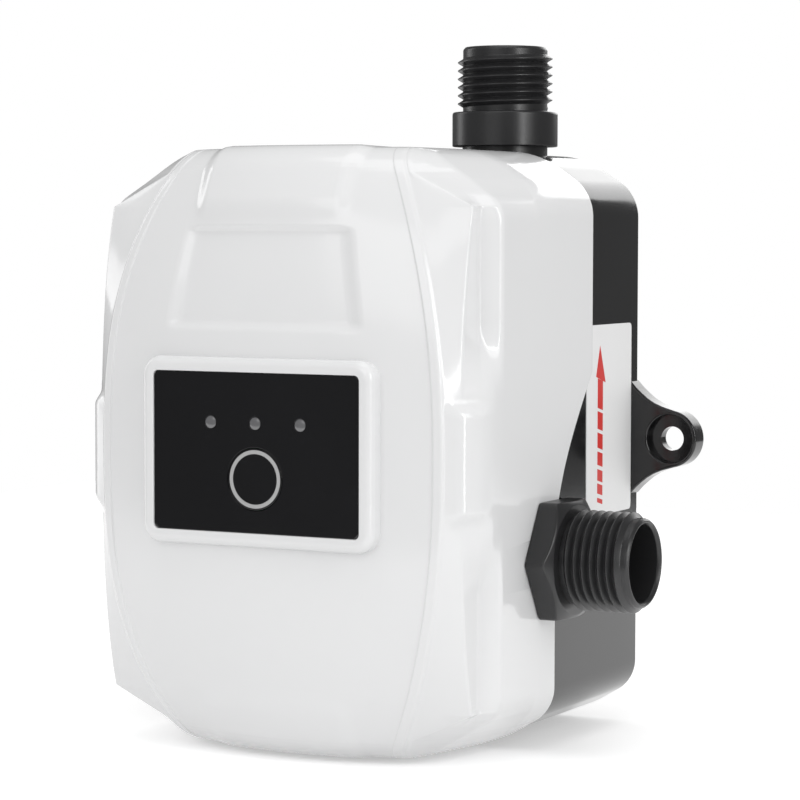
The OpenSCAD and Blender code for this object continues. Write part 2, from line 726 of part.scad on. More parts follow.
module control_label() color("#0c0c0e")
    difference() {
        panel_plate(label_w, label_h, label_r, label_y + label_t, label_t);
        bar_y(0, label_y + label_t + cut, button_z, button_d / 2 + key_play, label_t + 2 * cut);
        for (k = [-1 : 1])
            bar_y(k * lens_pitch, label_y + label_t + cut, lens_z, lens_d / 2, label_t + 2 * cut);
    }

module mode_button() color("#0c0c0e") {
    difference() {
        bar_y(0, label_y + key_t, button_z, button_d / 2, key_t);
        bar_y(0, label_y + ring_t, button_z, ring_d / 2, ring_t + cut);
    }
    bar_y(0, label_y + key_t, button_z, ring_d / 2 - ring_line, key_t);
    bar_y(0, plunger_y - 0.05, button_z, key_stem_d / 2, plunger_y - label_y - key_t);
}

module button_ring() color("#c9c9c9")
    difference() {
        bar_y(0, label_y + ring_t, button_z, ring_d / 2, ring_t);
        bar_y(0, label_y + ring_t + cut, button_z, ring_d / 2 - ring_line, ring_t + 2 * cut);
    }

module status_lens(k) color("#5c5c60") bar_y(k * lens_pitch, label_y + lens_t, lens_z, lens_d / 2, lens_t);
module status_lens_left() status_lens(-1);
module status_lens_middle() status_lens(0);
module status_lens_right() status_lens(1);

module light_pipes() color("#e8e8f0")
    for (k = [-1 : 1])
        bar_y(k * lens_pitch, board_y - led_t - 0.2, lens_z, pipe_d / 2,
            board_y - led_t - 0.2 - label_y - lens_t);

module flow_sticker() color("white")
    translate([casing_half_w, -casing_top_d + gap, -sticker_h + 25.4])
        cube([0.15, sticker_w, sticker_h]);

module circuit_board() color("#1f6b3a")
    difference() {
        translate([-board_w / 2, board_y, board_z - board_h / 2]) cube([board_w, board_t, board_h]);
        for (sx = [-1, 1], sz = [-1, 1])
            bar_y(sx * board_post_x, board_back + cut, board_z + sz * board_post_z,
                board_screw_d / 2 + 0.15, board_t + 2 * cut);
    }

module board_leds() color("#f4f4e0")
    for (k = [-1 : 1])
        translate([k * lens_pitch - led_w / 2, board_y - led_t, lens_z - led_w / 2]) cube([led_w, led_t, led_w]);

module tact_switch() color("#2b2b2b")
    difference() {
        translate([-tact_w / 2, board_y - tact_t, button_z - tact_w / 2]) cube([tact_w, tact_t, tact_w]);
        bar_y(0, board_y - 0.4, button_z, plunger_d / 2 + 0.1, tact_t);
    }

module switch_plunger() color("#8b5a2b")
    bar_y(0, board_y - 0.4 - button_travel - 0.1, button_z, plunger_d / 2,
        board_y - 0.5 - button_travel - plunger_y);

module board_capacitors() color("#2c3e66")
    for (k = [-1 : 1])
        bar_y(k * capacitor_pitch + capacitor_shift, board_back + capacitor_h,
            board_z + board_h / 2 - capacitor_edge, capacitor_r, capacitor_h);

module motor_socket() color("#efe9d8")
    difference() {
        translate([-plug_x, board_back, board_z - plug_drop]) cube([plug_w, plug_h, plug_l]);
        translate([-plug_x + plug_wall, board_back + 2 * plug_wall, board_z - plug_drop + plug_wall])
            cube([plug_w - 2 * plug_wall, plug_h, plug_l - 2 * plug_wall]);
    }

module board_screws() color("#b8b8bc")
    for (sx = [-1, 1], sz = [-1, 1])
        translate([sx * board_post_x, 0, board_z + sz * board_post_z]) {
            bar_y(0, board_back + 0.5, 0, board_screw_d / 2, board_t + 3.5);
            difference() {
                bar_y(0, board_back + 1.5, 0, board_screw_d, 1.5);
                translate([-1, board_back + 0.8, -0.2]) cube([2, cut, 0.4]);
            }
        }

module case_screw(x, y, z)
    translate([x, y, z])
        difference() {
            union() {
                bar_y(0, 0, 0, head_r, head_h);
                bar_y(0, -head_h / 2, 0, case_screw_d / 2, case_screw_l);
            }
            translate([-head_r / 2, -head_h / 2, -0.3]) cube([head_r, head_h, 0.6]);
            translate([-0.3, -head_h / 2, -head_r / 2]) cube([0.6, head_h, head_r]);
        }

module case_screws() color("#9a9aa0")
    for (sx = [-1, 1]) {
        case_screw(sx * post_x, upper_head_y + head_h, post_z - case_drop);
        case_screw(sx * post_x, lower_head_y + head_h, -post_z - case_drop);
    }

// Spiral outline in Y and Z round the pump's axis, set out by o
function spiral_points(o) = concat(
    [for (k = [0 : 27]) let (a = 270 * k / 27, r = spiral_r + spiral_growth * a / 270 + o)
        [r * cos(a), r * sin(a)]],
    [for (k = [1 : 12]) let (a = 90 * k / 12)
        [(throat_r + o) * sin(a), -(spiral_r + spiral_growth + o) * cos(a)]]);

module spiral(o) translate([inlet_y, inlet_z]) polygon(spiral_points(o));

// Radius of that spiral in the direction a
function spiral_at(a) = a <= 270 ? spiral_r + spiral_growth * a / 270
    : 1 / sqrt(pow(cos(a) / throat_r, 2) + pow(sin(a) / (spiral_r + spiral_growth), 2));

module at_angle(a, r) translate([0, inlet_y + r * cos(a), inlet_z + r * sin(a)]) children();

// The motor's screws also stay clear of the motor's wall
function motor_screw_at(a) = max(spiral_at(a) + boss_out, motor_d / 2 + screw_head_r + gap);

module cover_bosses(x, l, r)
    for (a = cover_screw_angles) at_angle(a, spiral_at(a) + boss_out) bar_x(x, 0, 0, r, l);
module motor_bosses(x, l, r)
    for (a = motor_screw_angles) at_angle(a, motor_screw_at(a)) bar_x(x, 0, 0, r, l);

module volute_housing() color("#303236") {
    difference() {
        union() {
            along_x(volute_x0, chamber_x1 - volute_x0) spiral(chamber_wall);
            bar_z(outlet_x, outlet_y, inlet_z, riser_r + riser_wall, socket_low_z + 2 - inlet_z);
            bar_z(outlet_x, outlet_y, socket_low_z, socket_r, socket_top_z - socket_low_z);
            cover_bosses(volute_x0, chamber_x1 - volute_x0, boss_r);
            motor_bosses(volute_x0, motor_boss_l, boss_r);
        }
        along_x(chamber_x0, chamber_w + cut) spiral(0);
        along_x(chamber_x1, riser_r + riser_wall) spiral(chamber_wall + gap);
        bar_x(volute_x0 - cut, inlet_y, inlet_z, can_r, chamber_wall + 2 * cut);
        bar_z(outlet_x, outlet_y, inlet_z, riser_r, socket_low_z - inlet_z + 2 * cut);
        bar_z(outlet_x, outlet_y, spigot_low_z - gap, outlet_spigot_r + socket_play, socket_top_z - socket_low_z);
        cover_bosses(chamber_x1 - 12, 12 + cut, small_screw_d / 2 + run);
        motor_bosses(volute_x0 - cut, 8 + cut, small_screw_d / 2 + run);
    }
    // Cross on which the float rests
    for (a = [0, 90])
        translate([outlet_x, outlet_y, seat_z]) rotate(a)
            translate([-riser_r - 0.5, -seat_t / 2, 0]) cube([riser_bore + 1, seat_t, seat_t]);
}

module chamber_gasket() color("#6b2f2a")
    difference() {
        union() {
            along_x(chamber_x1, gasket_t) spiral(chamber_wall);
            cover_bosses(chamber_x1, gasket_t, boss_r);
        }
        along_x(chamber_x1 - cut, gasket_t + 2 * cut) spiral(0);
        cover_bosses(chamber_x1 - cut, gasket_t + 2 * cut, small_screw_d / 2 + 0.2);
    }

module chamber_cover() color("#303236")
    difference() {
        union() {
            along_x(cover_x, cover_t) spiral(chamber_wall);
            cover_bosses(cover_x, cover_t, boss_r);
            bar_x(cover_x, inlet_y, inlet_z, spigot_d / 2 + socket_play + 2.2, cover_t + 1 + socket_l);
        }
        bar_x(cover_x - cut, inlet_y, inlet_z, eye_r + eye_wall + gap, cover_t + 2 * cut);
        bar_x(cover_x + cover_t, inlet_y, inlet_z, spigot_d / 2 + socket_play, socket_l + 2 * cut);
        cover_bosses(cover_x - cut, cover_t + 2 * cut, small_screw_d / 2 + 0.2);
    }

module small_screw(x, l, d)
    // Shank from x towards +X times d, with its head behind x
    translate([x, 0, 0]) rotate([0, 90 * d, 0]) difference() {
        union() {
            translate([0, 0, -cut]) cylinder(h = l + cut, r = small_screw_d / 2);
            translate([0, 0, -screw_head_h]) cylinder(h = screw_head_h, r = screw_head_r);
        }
        for (a = [0, 90]) rotate(a)
            translate([-slot_w / 2, -slot_l / 2, -screw_head_h - cut]) cube([slot_w, slot_l, slot_depth + cut]);
    }

module cover_screws() color("#9a9aa0")
    for (a = cover_screw_angles)
        at_angle(a, spiral_at(a) + boss_out) small_screw(cover_x + cover_t, cover_screw_l, -1);

module motor_screws() color("#9a9aa0")
    for (a = motor_screw_angles)
        at_angle(a, motor_screw_at(a)) small_screw(motor_x1 - lug_t, motor_screw_l, 1);

module impeller() color("#d8d4c8")
    difference() {
        union() {
            bar_x(impeller_x, inlet_y, inlet_z, impeller_d / 2, shroud_t);
            bar_x(impeller_x, inlet_y, inlet_z, hub_r, shroud_t + vane_h);
            difference() {
                bar_x(impeller_x + shroud_t + vane_h, inlet_y, inlet_z, impeller_d / 2, shroud_t);
                bar_x(impeller_x, inlet_y, inlet_z, eye_r, 4 * vane_h);
            }
            difference() {
                bar_x(impeller_x + shroud_t + vane_h, inlet_y, inlet_z, eye_r + eye_wall,
                    cover_x + 2 - impeller_x - shroud_t - vane_h);
                bar_x(impeller_x, inlet_y, inlet_z, eye_r, 6 * vane_h);
            }
            // Curved vanes
            for (k = [0 : 5])
                translate([impeller_x + shroud_t / 2, inlet_y, inlet_z]) rotate([60 * k, 0, 0])
                    intersection() {
                        difference() {
                            bar_x(0, -impeller_d / 4, -1, impeller_d / 4.2, vane_h + shroud_t);
                            bar_x(-cut, -impeller_d / 4, -1, impeller_d / 4.2 - 1.2, vane_h + shroud_t + 2 * cut);
                        }
                        translate([0, -impeller_d, 0]) cube([vane_h + shroud_t, impeller_d, impeller_d]);
                        bar_x(0, 0, 0, impeller_d / 2, vane_h + shroud_t);
                    }
        }
        bar_x(impeller_x - cut, inlet_y, inlet_z, shaft_d / 2, shaft_x1 - impeller_x + 2 * cut);
    }

module pump_shaft() color("#f2f2f2") bar_x(shaft_x0, inlet_y, inlet_z, shaft_d / 2, shaft_x1 - shaft_x0);

module ring_x(x, l, ro, ri)
    difference() {
        bar_x(x, inlet_y, inlet_z, ro, l);
        bar_x(x - cut, inlet_y, inlet_z, ri, l + 2 * cut);
    }

module rotor_magnet() color("#5a5f66") ring_x(rotor_x0, rotor_l, rotor_d / 2, shaft_d / 2);
module thrust_washer() color("#e6e1d2") ring_x(rotor_x1 + 0.3, washer_t, 4.4, shaft_d / 2);
module front_bush() color("#4a4038") ring_x(plate_x - 0.3, bush_l, bush_r, shaft_d / 2 + run);
module rear_bush() color("#4a4038") ring_x(rear_bush_x, bush_l, bush_r, shaft_d / 2 + run);

module bearing_plate() color("#c9b9a0")
    difference() {
        bar_x(plate_x, inlet_y, inlet_z, can_r - 0.1, plate_t);
        bar_x(plate_x - cut, inlet_y, inlet_z, bush_r, plate_t + 2 * cut);
        for (a = [0 : 60 : 300]) at_angle(a, 7.4) bar_x(plate_x - cut, 0, 0, 1.5, plate_t + 2 * cut);
    }

module rotor_can() color("#8a8f96")
    difference() {
        union() {
            bar_x(can_end_x, inlet_y, inlet_z, can_r + can_wall, can_flange_x - can_end_x + cut);
            bar_x(can_flange_x, inlet_y, inlet_z, can_flange_r, can_flange_t);
        }
        difference() {
            bar_x(can_end_x + 1.7, inlet_y, inlet_z, can_r, volute_x0 - can_end_x);
            bar_x(can_end_x, inlet_y, inlet_z, bush_r + 1.6, 1.7 + bush_l);
        }
        bar_x(can_end_x + 1.7, inlet_y, inlet_z, bush_r, bush_l + cut);
        // Groove of the round seal
        difference() {
            bar_x(volute_x0 - can_groove, inlet_y, inlet_z, can_seal_r + can_groove / 1.5, can_groove + cut);
            bar_x(volute_x0 - 2 * can_groove, inlet_y, inlet_z, can_seal_r - can_groove / 1.5,
                2 * can_groove + 2 * cut);
        }
    }

module can_seal() color("#333333")
    translate([volute_x0 - can_groove / 2, inlet_y, inlet_z]) rotate([0, 90, 0])
        rotate_extrude() translate([can_seal_r, 0]) circle(can_groove / 2 - 1.5 * seal_play);

module stator_core() color("#7d8289") {
    bore = can_r + can_wall + gap;
    difference() {
        union() {
            ring_x(core_x0, core_l, stator_d / 2, stator_d / 2 - yoke_t);
            for (k = [0 : teeth - 1])
                translate([0, inlet_y, inlet_z]) rotate([360 * k / teeth, 0, 0])
                    translate([core_x0, 0, -tooth_w / 2]) cube([core_l, stator_d / 2 - yoke_t / 2, tooth_w]);
            difference() {
                ring_x(core_x0, core_l, bore + 1.4, bore);
                for (k = [0 : teeth - 1])
                    translate([0, inlet_y, inlet_z]) rotate([360 * (k + 0.5) / teeth, 0, 0])
                        translate([core_x0 - cut, 0, -1]) cube([core_l + 2 * cut, stator_d / 2, 2]);
            }
        }
        bar_x(core_x0 - cut, inlet_y, inlet_z, bore, core_l + 2 * cut);
    }
}

module stator_windings() color("#b8692e") {
    r0 = can_r + can_wall + gap + 1.7;
    r1 = stator_d / 2 - yoke_t - 1.6;
    for (k = [0 : teeth - 1])
        translate([0, inlet_y, inlet_z]) rotate([360 * k / teeth, 0, 0])
            difference() {
                translate([core_x0 - coil_over, r0, -tooth_w / 2 - 3.4])
                    cube([core_l + 2 * coil_over, r1 - r0, tooth_w + 6.8]);
                translate([core_x0 - gap, r0 - cut, -tooth_w / 2 - gap])
                    cube([core_l + 2 * gap, r1 - r0 + 2 * cut, tooth_w + 2 * gap]);
            }
}

module motor_housing() color("#3a3d42")
    difference() {
        union() {
            bar_x(motor_x0, inlet_y, inlet_z, motor_d / 2, motor_x1 - motor_x0);
            motor_bosses(motor_x1 - lug_t, lug_t, boss_r);
            for (a = motor_screw_angles)
                translate([motor_x1 - lug_t + lug_step, inlet_y, inlet_z]) rotate([a, 0, 0])
                    translate([0, motor_d / 2 - motor_wall / 2, -lug_half_w])
                        cube([lug_t - 2 * lug_step, motor_screw_at(a) - motor_d / 2 + motor_wall / 2,
                            2 * lug_half_w]);
        }
        bar_x(motor_x0 + motor_wall, inlet_y, inlet_z, stator_d / 2 + motor_play, motor_x1 - motor_x0);
        motor_bosses(motor_x1 - lug_t - cut, lug_t + 2 * cut, small_screw_d / 2 + 0.2);
    }

module flow_float() color("#b03a2e")
    translate([outlet_x, outlet_y, seat_z + seat_t + 0.1])
        difference() {
            cylinder(h = float_h, r = float_r);
            translate([0, 0, -cut]) cylinder(h = 3 + cut, r = float_r - 1.6);
        }

module float_retainer() color("#c9b9a0")
    translate([outlet_x, outlet_y, retainer_z]) {
        difference() {
            cylinder(h = retainer_t, r = riser_r - 0.05);
            translate([0, 0, -cut]) cylinder(h = retainer_t + 2 * cut, r = riser_r - 1.1);
        }
        for (a = [0, 90]) rotate(a) translate([-riser_r + 0.6, -0.7, 0]) cube([riser_bore - 1.2, 1.4, retainer_t]);
    }

module reed_switch() color("#24343d")
    translate([outlet_x - riser_r - riser_wall - reed_t, outlet_y - reed_w / 2, reed_z])
        cube([reed_t, reed_w, reed_l]);

module cord_grommet() color("#26262a")
    translate([grommet_x, grommet_y, casing_foot_z])
        difference() {
            union() {
                translate([0, 0, -1.6]) cylinder(h = 1.5, r = grommet_r + 1.6);
                translate([0, 0, -0.2]) cylinder(h = wall + 0.5, r = grommet_r - 0.1);
                translate([0, 0, wall + 0.1]) cylinder(h = 1.4, r = grommet_r + 1.2);
            }
            translate([0, 0, -3]) cylinder(h = wall + 8, r = cord_d / 2);
        }

front_shell();
rear_casing();
outlet_fitting();
inlet_fitting();
control_label();
mode_button();
button_ring();
status_lens_left();
status_lens_middle();
status_lens_right();
flow_sticker();
light_pipes();
circuit_board();
board_leds();
tact_switch();
switch_plunger();
board_capacitors();
motor_socket();
board_screws();
case_screws();
volute_housing();
chamber_gasket();
chamber_cover();
cover_screws();
impeller();
pump_shaft();
rotor_magnet();
thrust_washer();
front_bush();
rear_bush();
bearing_plate();
rotor_can();
can_seal();
stator_core();
stator_windings();
motor_housing();
motor_screws();
inlet_seal();
outlet_seal();
inlet_filter();
flow_float();
float_retainer();
reed_switch();
cord_grommet();
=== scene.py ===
# %% [markdown]
# # A wall-mounted shower pump
#
# The pump has a white glossy front shell, a black rear casing with two ears for the wall, a
# threaded outlet on top and a threaded inlet with a hexagon on its right side. A black plate
# with a round key and three small lamps sits in a frame on the front.
#
# The CAD model is loaded first as a fixed frame in metres. Every piece below is modelled at its
# real place in millimetres and scaled once at the end, so no piece needs to be moved by hand.

# %% Load the frame
import math

import bmesh
import bpy
from mathutils import Matrix, Vector


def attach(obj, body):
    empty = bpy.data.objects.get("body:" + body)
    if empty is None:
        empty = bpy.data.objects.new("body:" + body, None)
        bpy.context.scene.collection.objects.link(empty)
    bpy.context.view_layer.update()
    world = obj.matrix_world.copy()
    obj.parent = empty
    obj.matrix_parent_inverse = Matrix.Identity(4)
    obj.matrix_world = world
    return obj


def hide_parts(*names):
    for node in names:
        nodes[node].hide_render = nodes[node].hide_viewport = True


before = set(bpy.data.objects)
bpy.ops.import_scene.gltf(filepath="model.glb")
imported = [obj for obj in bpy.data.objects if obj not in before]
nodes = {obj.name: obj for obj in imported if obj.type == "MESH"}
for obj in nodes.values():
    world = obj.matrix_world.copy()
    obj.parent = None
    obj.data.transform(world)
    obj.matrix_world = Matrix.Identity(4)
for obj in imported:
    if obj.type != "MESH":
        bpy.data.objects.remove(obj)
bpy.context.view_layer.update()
scene = bpy.context.scene
MM = 0.001

# %% [markdown]
# ## A surface for moulded plastic
#
# Moulded plastic is never quite even: it has a very fine grain and broad, soft changes in
# gloss. An image could show that, but a node group follows the object at any size and is built
# once. Its values differ in each material.

# %% Node group for a moulded surface
def moulded_group():
    group = bpy.data.node_groups.new("moulded_surface", "ShaderNodeTree")
    face = group.interface
    for name, value in (("Grain size", 900.0), ("Cloud size", 25.0)):
        face.new_socket(name=name, in_out="INPUT", socket_type="NodeSocketFloat").default_value = value
    for name in ("Height", "Tone"):
        face.new_socket(name=name, in_out="OUTPUT", socket_type="NodeSocketFloat")
    add = group.nodes.new
    entry, leave = add("NodeGroupInput"), add("NodeGroupOutput")
    place = add("ShaderNodeTexCoord")
    grain, cloud = add("ShaderNodeTexNoise"), add("ShaderNodeTexNoise")
    grain.inputs["Detail"].default_value = 4
    cloud.inputs["Detail"].default_value = 3
    for noise, size in ((grain, "Grain size"), (cloud, "Cloud size")):
        group.links.new(place.outputs["Object"], noise.inputs["Vector"])
        group.links.new(entry.outputs[size], noise.inputs["Scale"])
    spread = add("ShaderNodeMapRange")
    spread.inputs["From Min"].default_value = 0.35
    spread.inputs["From Max"].default_value = 0.65
    group.links.new(cloud.outputs["Fac"], spread.inputs["Value"])
    group.links.new(grain.outputs["Fac"], leave.inputs["Height"])
    group.links.new(spread.outputs["Result"], leave.inputs["Tone"])
    return group


moulded = moulded_group()
print("node group:", moulded.name, "outputs", [s.name for s in moulded.interface.items_tree])


# %% [markdown]
# ## Materials
#
# Every finish is a Principled BSDF. The group's tone moves colour and roughness a little, and
# its height goes through a Bump node. Numbers that stay the same all over a piece are set
# straight on the shader.

# %% Helper that makes one finish
def finish(name, colour, rough, metal=0.0, coat=0.0, grain=900.0, cloud=25.0, bump=0.00003,
           tone=0.03, rough_play=0.03, strength=0.25):
    material = bpy.data.materials.new(name)
    material.use_nodes = True
    tree = material.node_tree
    shader = tree.nodes["Principled BSDF"]
    shader.inputs["Metallic"].default_value = metal
    shader.inputs["Coat Weight"].default_value = coat
    shader.inputs["Coat Roughness"].default_value = 0.05
    surface = tree.nodes.new("ShaderNodeGroup")
    surface.node_tree = moulded
    surface.inputs["Grain size"].default_value = grain
    surface.inputs["Cloud size"].default_value = cloud
    tint = tree.nodes.new("ShaderNodeMix")
    tint.data_type = "RGBA"
    tint.inputs["A"].default_value = [c * (1 - tone) for c in colour] + [1]
    tint.inputs["B"].default_value = [min(1, c * (1 + tone)) for c in colour] + [1]
    gloss = tree.nodes.new("ShaderNodeMapRange")
    gloss.inputs["To Min"].default_value = max(0.02, rough - rough_play)
    gloss.inputs["To Max"].default_value = rough + rough_play
    relief = tree.nodes.new("ShaderNodeBump")
    relief.inputs["Distance"].default_value = bump
    relief.inputs["Strength"].default_value = strength
    link = tree.links.new
    link(surface.outputs["Tone"], tint.inputs["Factor"])
    link(surface.outputs["Tone"], gloss.inputs["Value"])
    link(surface.outputs["Height"], relief.inputs["Height"])
    link(tint.outputs["Result"], shader.inputs["Base Color"])
    link(gloss.outputs["Result"], shader.inputs["Roughness"])
    link(relief.outputs["Normal"], shader.inputs["Normal"])
    return material


# %% The finishes of this pump
finishes = {
    "shell_white": finish("white_gloss_plastic", (0.80, 0.802, 0.806), 0.13, tone=0.006,
                          bump=0.000006),
    "casing_black": finish("black_gloss_plastic", (0.009, 0.009, 0.0095), 0.13, bump=0.00002, tone=0.1),
    "fitting_black": finish("black_satin_plastic", (0.02, 0.02, 0.021), 0.32, grain=1400, tone=0.12),
    "label_black": finish("black_label_film", (0.006, 0.006, 0.007), 0.1, bump=0.000008, tone=0.1),
    "ring_grey": finish("grey_print", (0.42, 0.42, 0.42), 0.4),
    "lens_grey": finish("smoked_lens", (0.13, 0.13, 0.135), 0.12, coat=0.8),
    "sticker_white": finish("white_vinyl", (0.82, 0.82, 0.82), 0.42, tone=0.015),
    "arrow_red": finish("red_print", (0.62, 0.03, 0.025), 0.4, tone=0.05),
    "clear": finish("clear_rod", (0.75, 0.8, 0.85), 0.1, coat=0.5),
    "board_green": finish("solder_resist", (0.03, 0.16, 0.06), 0.3, tone=0.15),
    "led_white": finish("lamp_body", (0.8, 0.8, 0.68), 0.25),
    "switch_black": finish("switch_body", (0.03, 0.03, 0.03), 0.5, tone=0.1),
    "plunger_brown": finish("plunger_plastic", (0.25, 0.1, 0.04), 0.45, tone=0.1),
    "capacitor_blue": finish("capacitor_sleeve", (0.04, 0.07, 0.2), 0.3, tone=0.1),
    "socket_cream": finish("socket_nylon", (0.75, 0.68, 0.5), 0.45, tone=0.04),
    "screw_steel": finish("zinc_plate", (0.58, 0.58, 0.6), 0.3, metal=1.0, grain=2500, rough_play=0.1,
                          tone=0.08),
    "pump_grey": finish("glass_filled_nylon", (0.06, 0.063, 0.067), 0.55, grain=1800, bump=0.00008,
                        tone=0.15),
    "seal_rubber": finish("black_rubber", (0.02, 0.02, 0.02), 0.65, grain=2000, bump=0.00006, tone=0.15),
    "impeller_cream": finish("cream_acetal", (0.7, 0.66, 0.54), 0.4, tone=0.04),
    "shaft_ceramic": finish("ground_ceramic", (0.82, 0.82, 0.8), 0.2, tone=0.02),
    "magnet_grey": finish("sintered_ferrite", (0.08, 0.085, 0.09), 0.5, grain=2500, tone=0.2),
    "bush_carbon": finish("bush_graphite", (0.035, 0.032, 0.03), 0.5, grain=2500, tone=0.2),
    "can_steel": finish("drawn_steel", (0.5, 0.51, 0.53), 0.35, metal=1.0, rough_play=0.08),
    "core_steel": finish("stacked_steel", (0.3, 0.31, 0.33), 0.5, metal=1.0, grain=3000, rough_play=0.1),
    "copper": finish("enamelled_copper", (0.6, 0.22, 0.08), 0.35, metal=1.0, grain=3000, tone=0.15),
    "motor_black": finish("painted_housing", (0.03, 0.031, 0.034), 0.4, tone=0.12),
    "filter_steel": finish("filter_mesh_steel", (0.6, 0.6, 0.62), 0.3, metal=1.0, tone=0.06),
    "float_red": finish("red_float", (0.45, 0.03, 0.02), 0.45, tone=0.06),
}
print("finishes:", len(finishes))

# %% [markdown]
# ## CAD solids that keep their own shape
#
# The pieces inside the pump are seen only through the two bores. Their CAD shapes are right, so
# each one keeps its mesh and gets the finish of its slot in the record.

# %% Finish of each CAD node
node_slots = {
    "front_shell": "shell_white", "rear_casing": "casing_black", "outlet_fitting": "fitting_black",
    "inlet_fitting": "fitting_black", "control_label": "label_black", "mode_button": "label_black",
    "button_ring": "ring_grey", "status_lens_left": "lens_grey", "status_lens_middle": "lens_grey",
    "status_lens_right": "lens_grey", "flow_sticker": "sticker_white", "light_pipes": "clear",
    "circuit_board": "board_green", "board_leds": "led_white", "tact_switch": "switch_black",
    "switch_plunger": "plunger_brown", "board_capacitors": "capacitor_blue",
    "motor_socket": "socket_cream", "board_screws": "screw_steel", "case_screws": "screw_steel",
    "volute_housing": "pump_grey", "chamber_gasket": "seal_rubber", "chamber_cover": "pump_grey",
    "cover_screws": "screw_steel", "impeller": "impeller_cream", "pump_shaft": "shaft_ceramic",
    "rotor_magnet": "magnet_grey", "thrust_washer": "impeller_cream", "front_bush": "bush_carbon",
    "rear_bush": "bush_carbon", "bearing_plate": "impeller_cream", "rotor_can": "can_steel",
    "can_seal": "seal_rubber", "stator_core": "core_steel", "stator_windings": "copper",
    "motor_housing": "motor_black", "motor_screws": "screw_steel", "inlet_seal": "seal_rubber",
    "outlet_seal": "seal_rubber", "inlet_filter": "filter_steel", "flow_float": "float_red",
    "float_retainer": "impeller_cream", "reed_switch": "switch_black", "cord_grommet": "seal_rubber",
}
for name, obj in nodes.items():
    obj.data.materials.clear()
    obj.data.materials.append(finishes[node_slots[name]])
print("CAD nodes finished:", len(nodes))


# %% [markdown]
# ## Helpers for the new pieces
#
# A piece is a bmesh in millimetres. When it is done it becomes an object in metres that rides
# on its body. Rounded edges are real geometry, because the light lines along them are what
# makes plastic look moulded, and the Weighted Normal modifier keeps the flats between them flat.

# %% Turn a bmesh into a piece
def piece(name, bm, slot, body="pump", stands_for=(), sharp=40, material=None):
    mesh = bpy.data.meshes.new(name)
    bm.to_mesh(mesh)
    bm.free()
    mesh.transform(Matrix.Scale(MM, 4))
    mesh.materials.append(finishes[material or slot])
    mesh.polygons.foreach_set("use_smooth", [True] * len(mesh.polygons))
    mesh.set_sharp_from_angle(angle=math.radians(sharp))
    obj = bpy.data.objects.new(name, mesh)
    scene.collection.objects.link(obj)
    even = obj.modifiers.new("even shading", "WEIGHTED_NORMAL")
    even.keep_sharp = True
    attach(obj, body)
    if stands_for:
        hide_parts(*stands_for)
    print(name, "faces:", len(mesh.polygons))
    return obj


# %% Loops, rounded corners and lathed rings
SHARP_RIM = 1.2  # radians


def clamp(t):
    return min(1.0, max(0.0, t))


def smooth(t):
    t = clamp(t)
    return t * t * (3 - 2 * t)


def mix(a, b, t):
    return a + (b - a) * t


def rounded(points, steps=4):
    """Rounds the corners of an open profile. Each point is (place, radius), and a corner with a
    radius becomes steps + 1 points."""
    out = []
    for k, (place, radius) in enumerate(points):
        place = Vector(place)
        if not radius or k in (0, len(points) - 1):
            out.append(place)
            continue
        before, after = Vector(points[k - 1][0]) - place, Vector(points[k + 1][0]) - place
        a = place + before * min(0.45, radius / max(before.length, 1e-6))
        b = place + after * min(0.45, radius / max(after.length, 1e-6))
        for j in range(steps + 1):
            t = j / steps
            out.append(a * (1 - t) ** 2 + place * 2 * t * (1 - t) + b * t * t)
    return out


def chain(bm, points, closed=False):
    verts = [bm.verts.new(p) for p in points]
    edges = [bm.edges.new(pair) for pair in zip(verts, verts[1:])]
    if closed:
        edges.append(bm.edges.new((verts[-1], verts[0])))
    return edges


def pull(bm, edges, place):
    """Extrudes a chain of edges and puts each new vertex where place(vertex) says."""
    new = bmesh.ops.extrude_edge_only(bm, edges=edges)["geom"]
    for v in new:
        if isinstance(v, bmesh.types.BMVert):
            v.co = place(v)
    return [e for e in new if isinstance(e, bmesh.types.BMEdge)]


def shift(vector):
    return lambda v: v.co + Vector(vector)


def circle(radius, count):
    """Points round a circle, as pairs."""
    turns = [2 * math.pi * k / count for k in range(count)]
    return [(radius * math.cos(a), radius * math.sin(a)) for a in turns]


def thicken(bm, vector):
    """Pulls a copy of all faces out by a vector and closes the border between the two."""
    made = bmesh.ops.extrude_face_region(bm, geom=bm.faces[:])["geom"]
    bmesh.ops.translate(bm, vec=vector, verts=[v for v in made if isinstance(v, bmesh.types.BMVert)])


def rims(bm, near):
    """Sharp edges with both ends where near(place) holds."""
    return [e for e in bm.edges if len(e.link_faces) == 2 and e.calc_face_angle(0) > SHARP_RIM
            and all(near(v.co) for v in e.verts)]


def soften(bm, edges, offset, segments):
    bmesh.ops.bevel(bm, geom=edges, offset=offset, segments=segments, profile=0.5, affect="EDGES",
                    material=-1)


def lathe(bm, profile, matrix, steps=96):
    """Turns a closed profile of ((radius, height), rounding) about Z, then puts it in place."""
    closed = profile + profile[:1]
    points = rounded([((r, 0, h), rounding) for (r, h), rounding in closed])
    fresh = bmesh.new()
    edges = chain(fresh, points[:-1], closed=True)
    bmesh.ops.spin(fresh, geom=fresh.verts[:] + edges, cent=(0, 0, 0), axis=(0, 0, 1),
                   angle=2 * math.pi, steps=steps, use_merge=True)
    bmesh.ops.remove_doubles(fresh, verts=fresh.verts, dist=0.001)
    bmesh.ops.recalc_face_normals(fresh, faces=fresh.faces)
    bmesh.ops.transform(fresh, matrix=matrix, verts=fresh.verts)
    add_to(bm, fresh)


def add_to(bm, other):
    """Joins another bmesh to this one."""
    mesh = bpy.data.meshes.new("part")
    other.to_mesh(mesh)
    other.free()
    bm.from_mesh(mesh)
    bpy.data.meshes.remove(mesh)


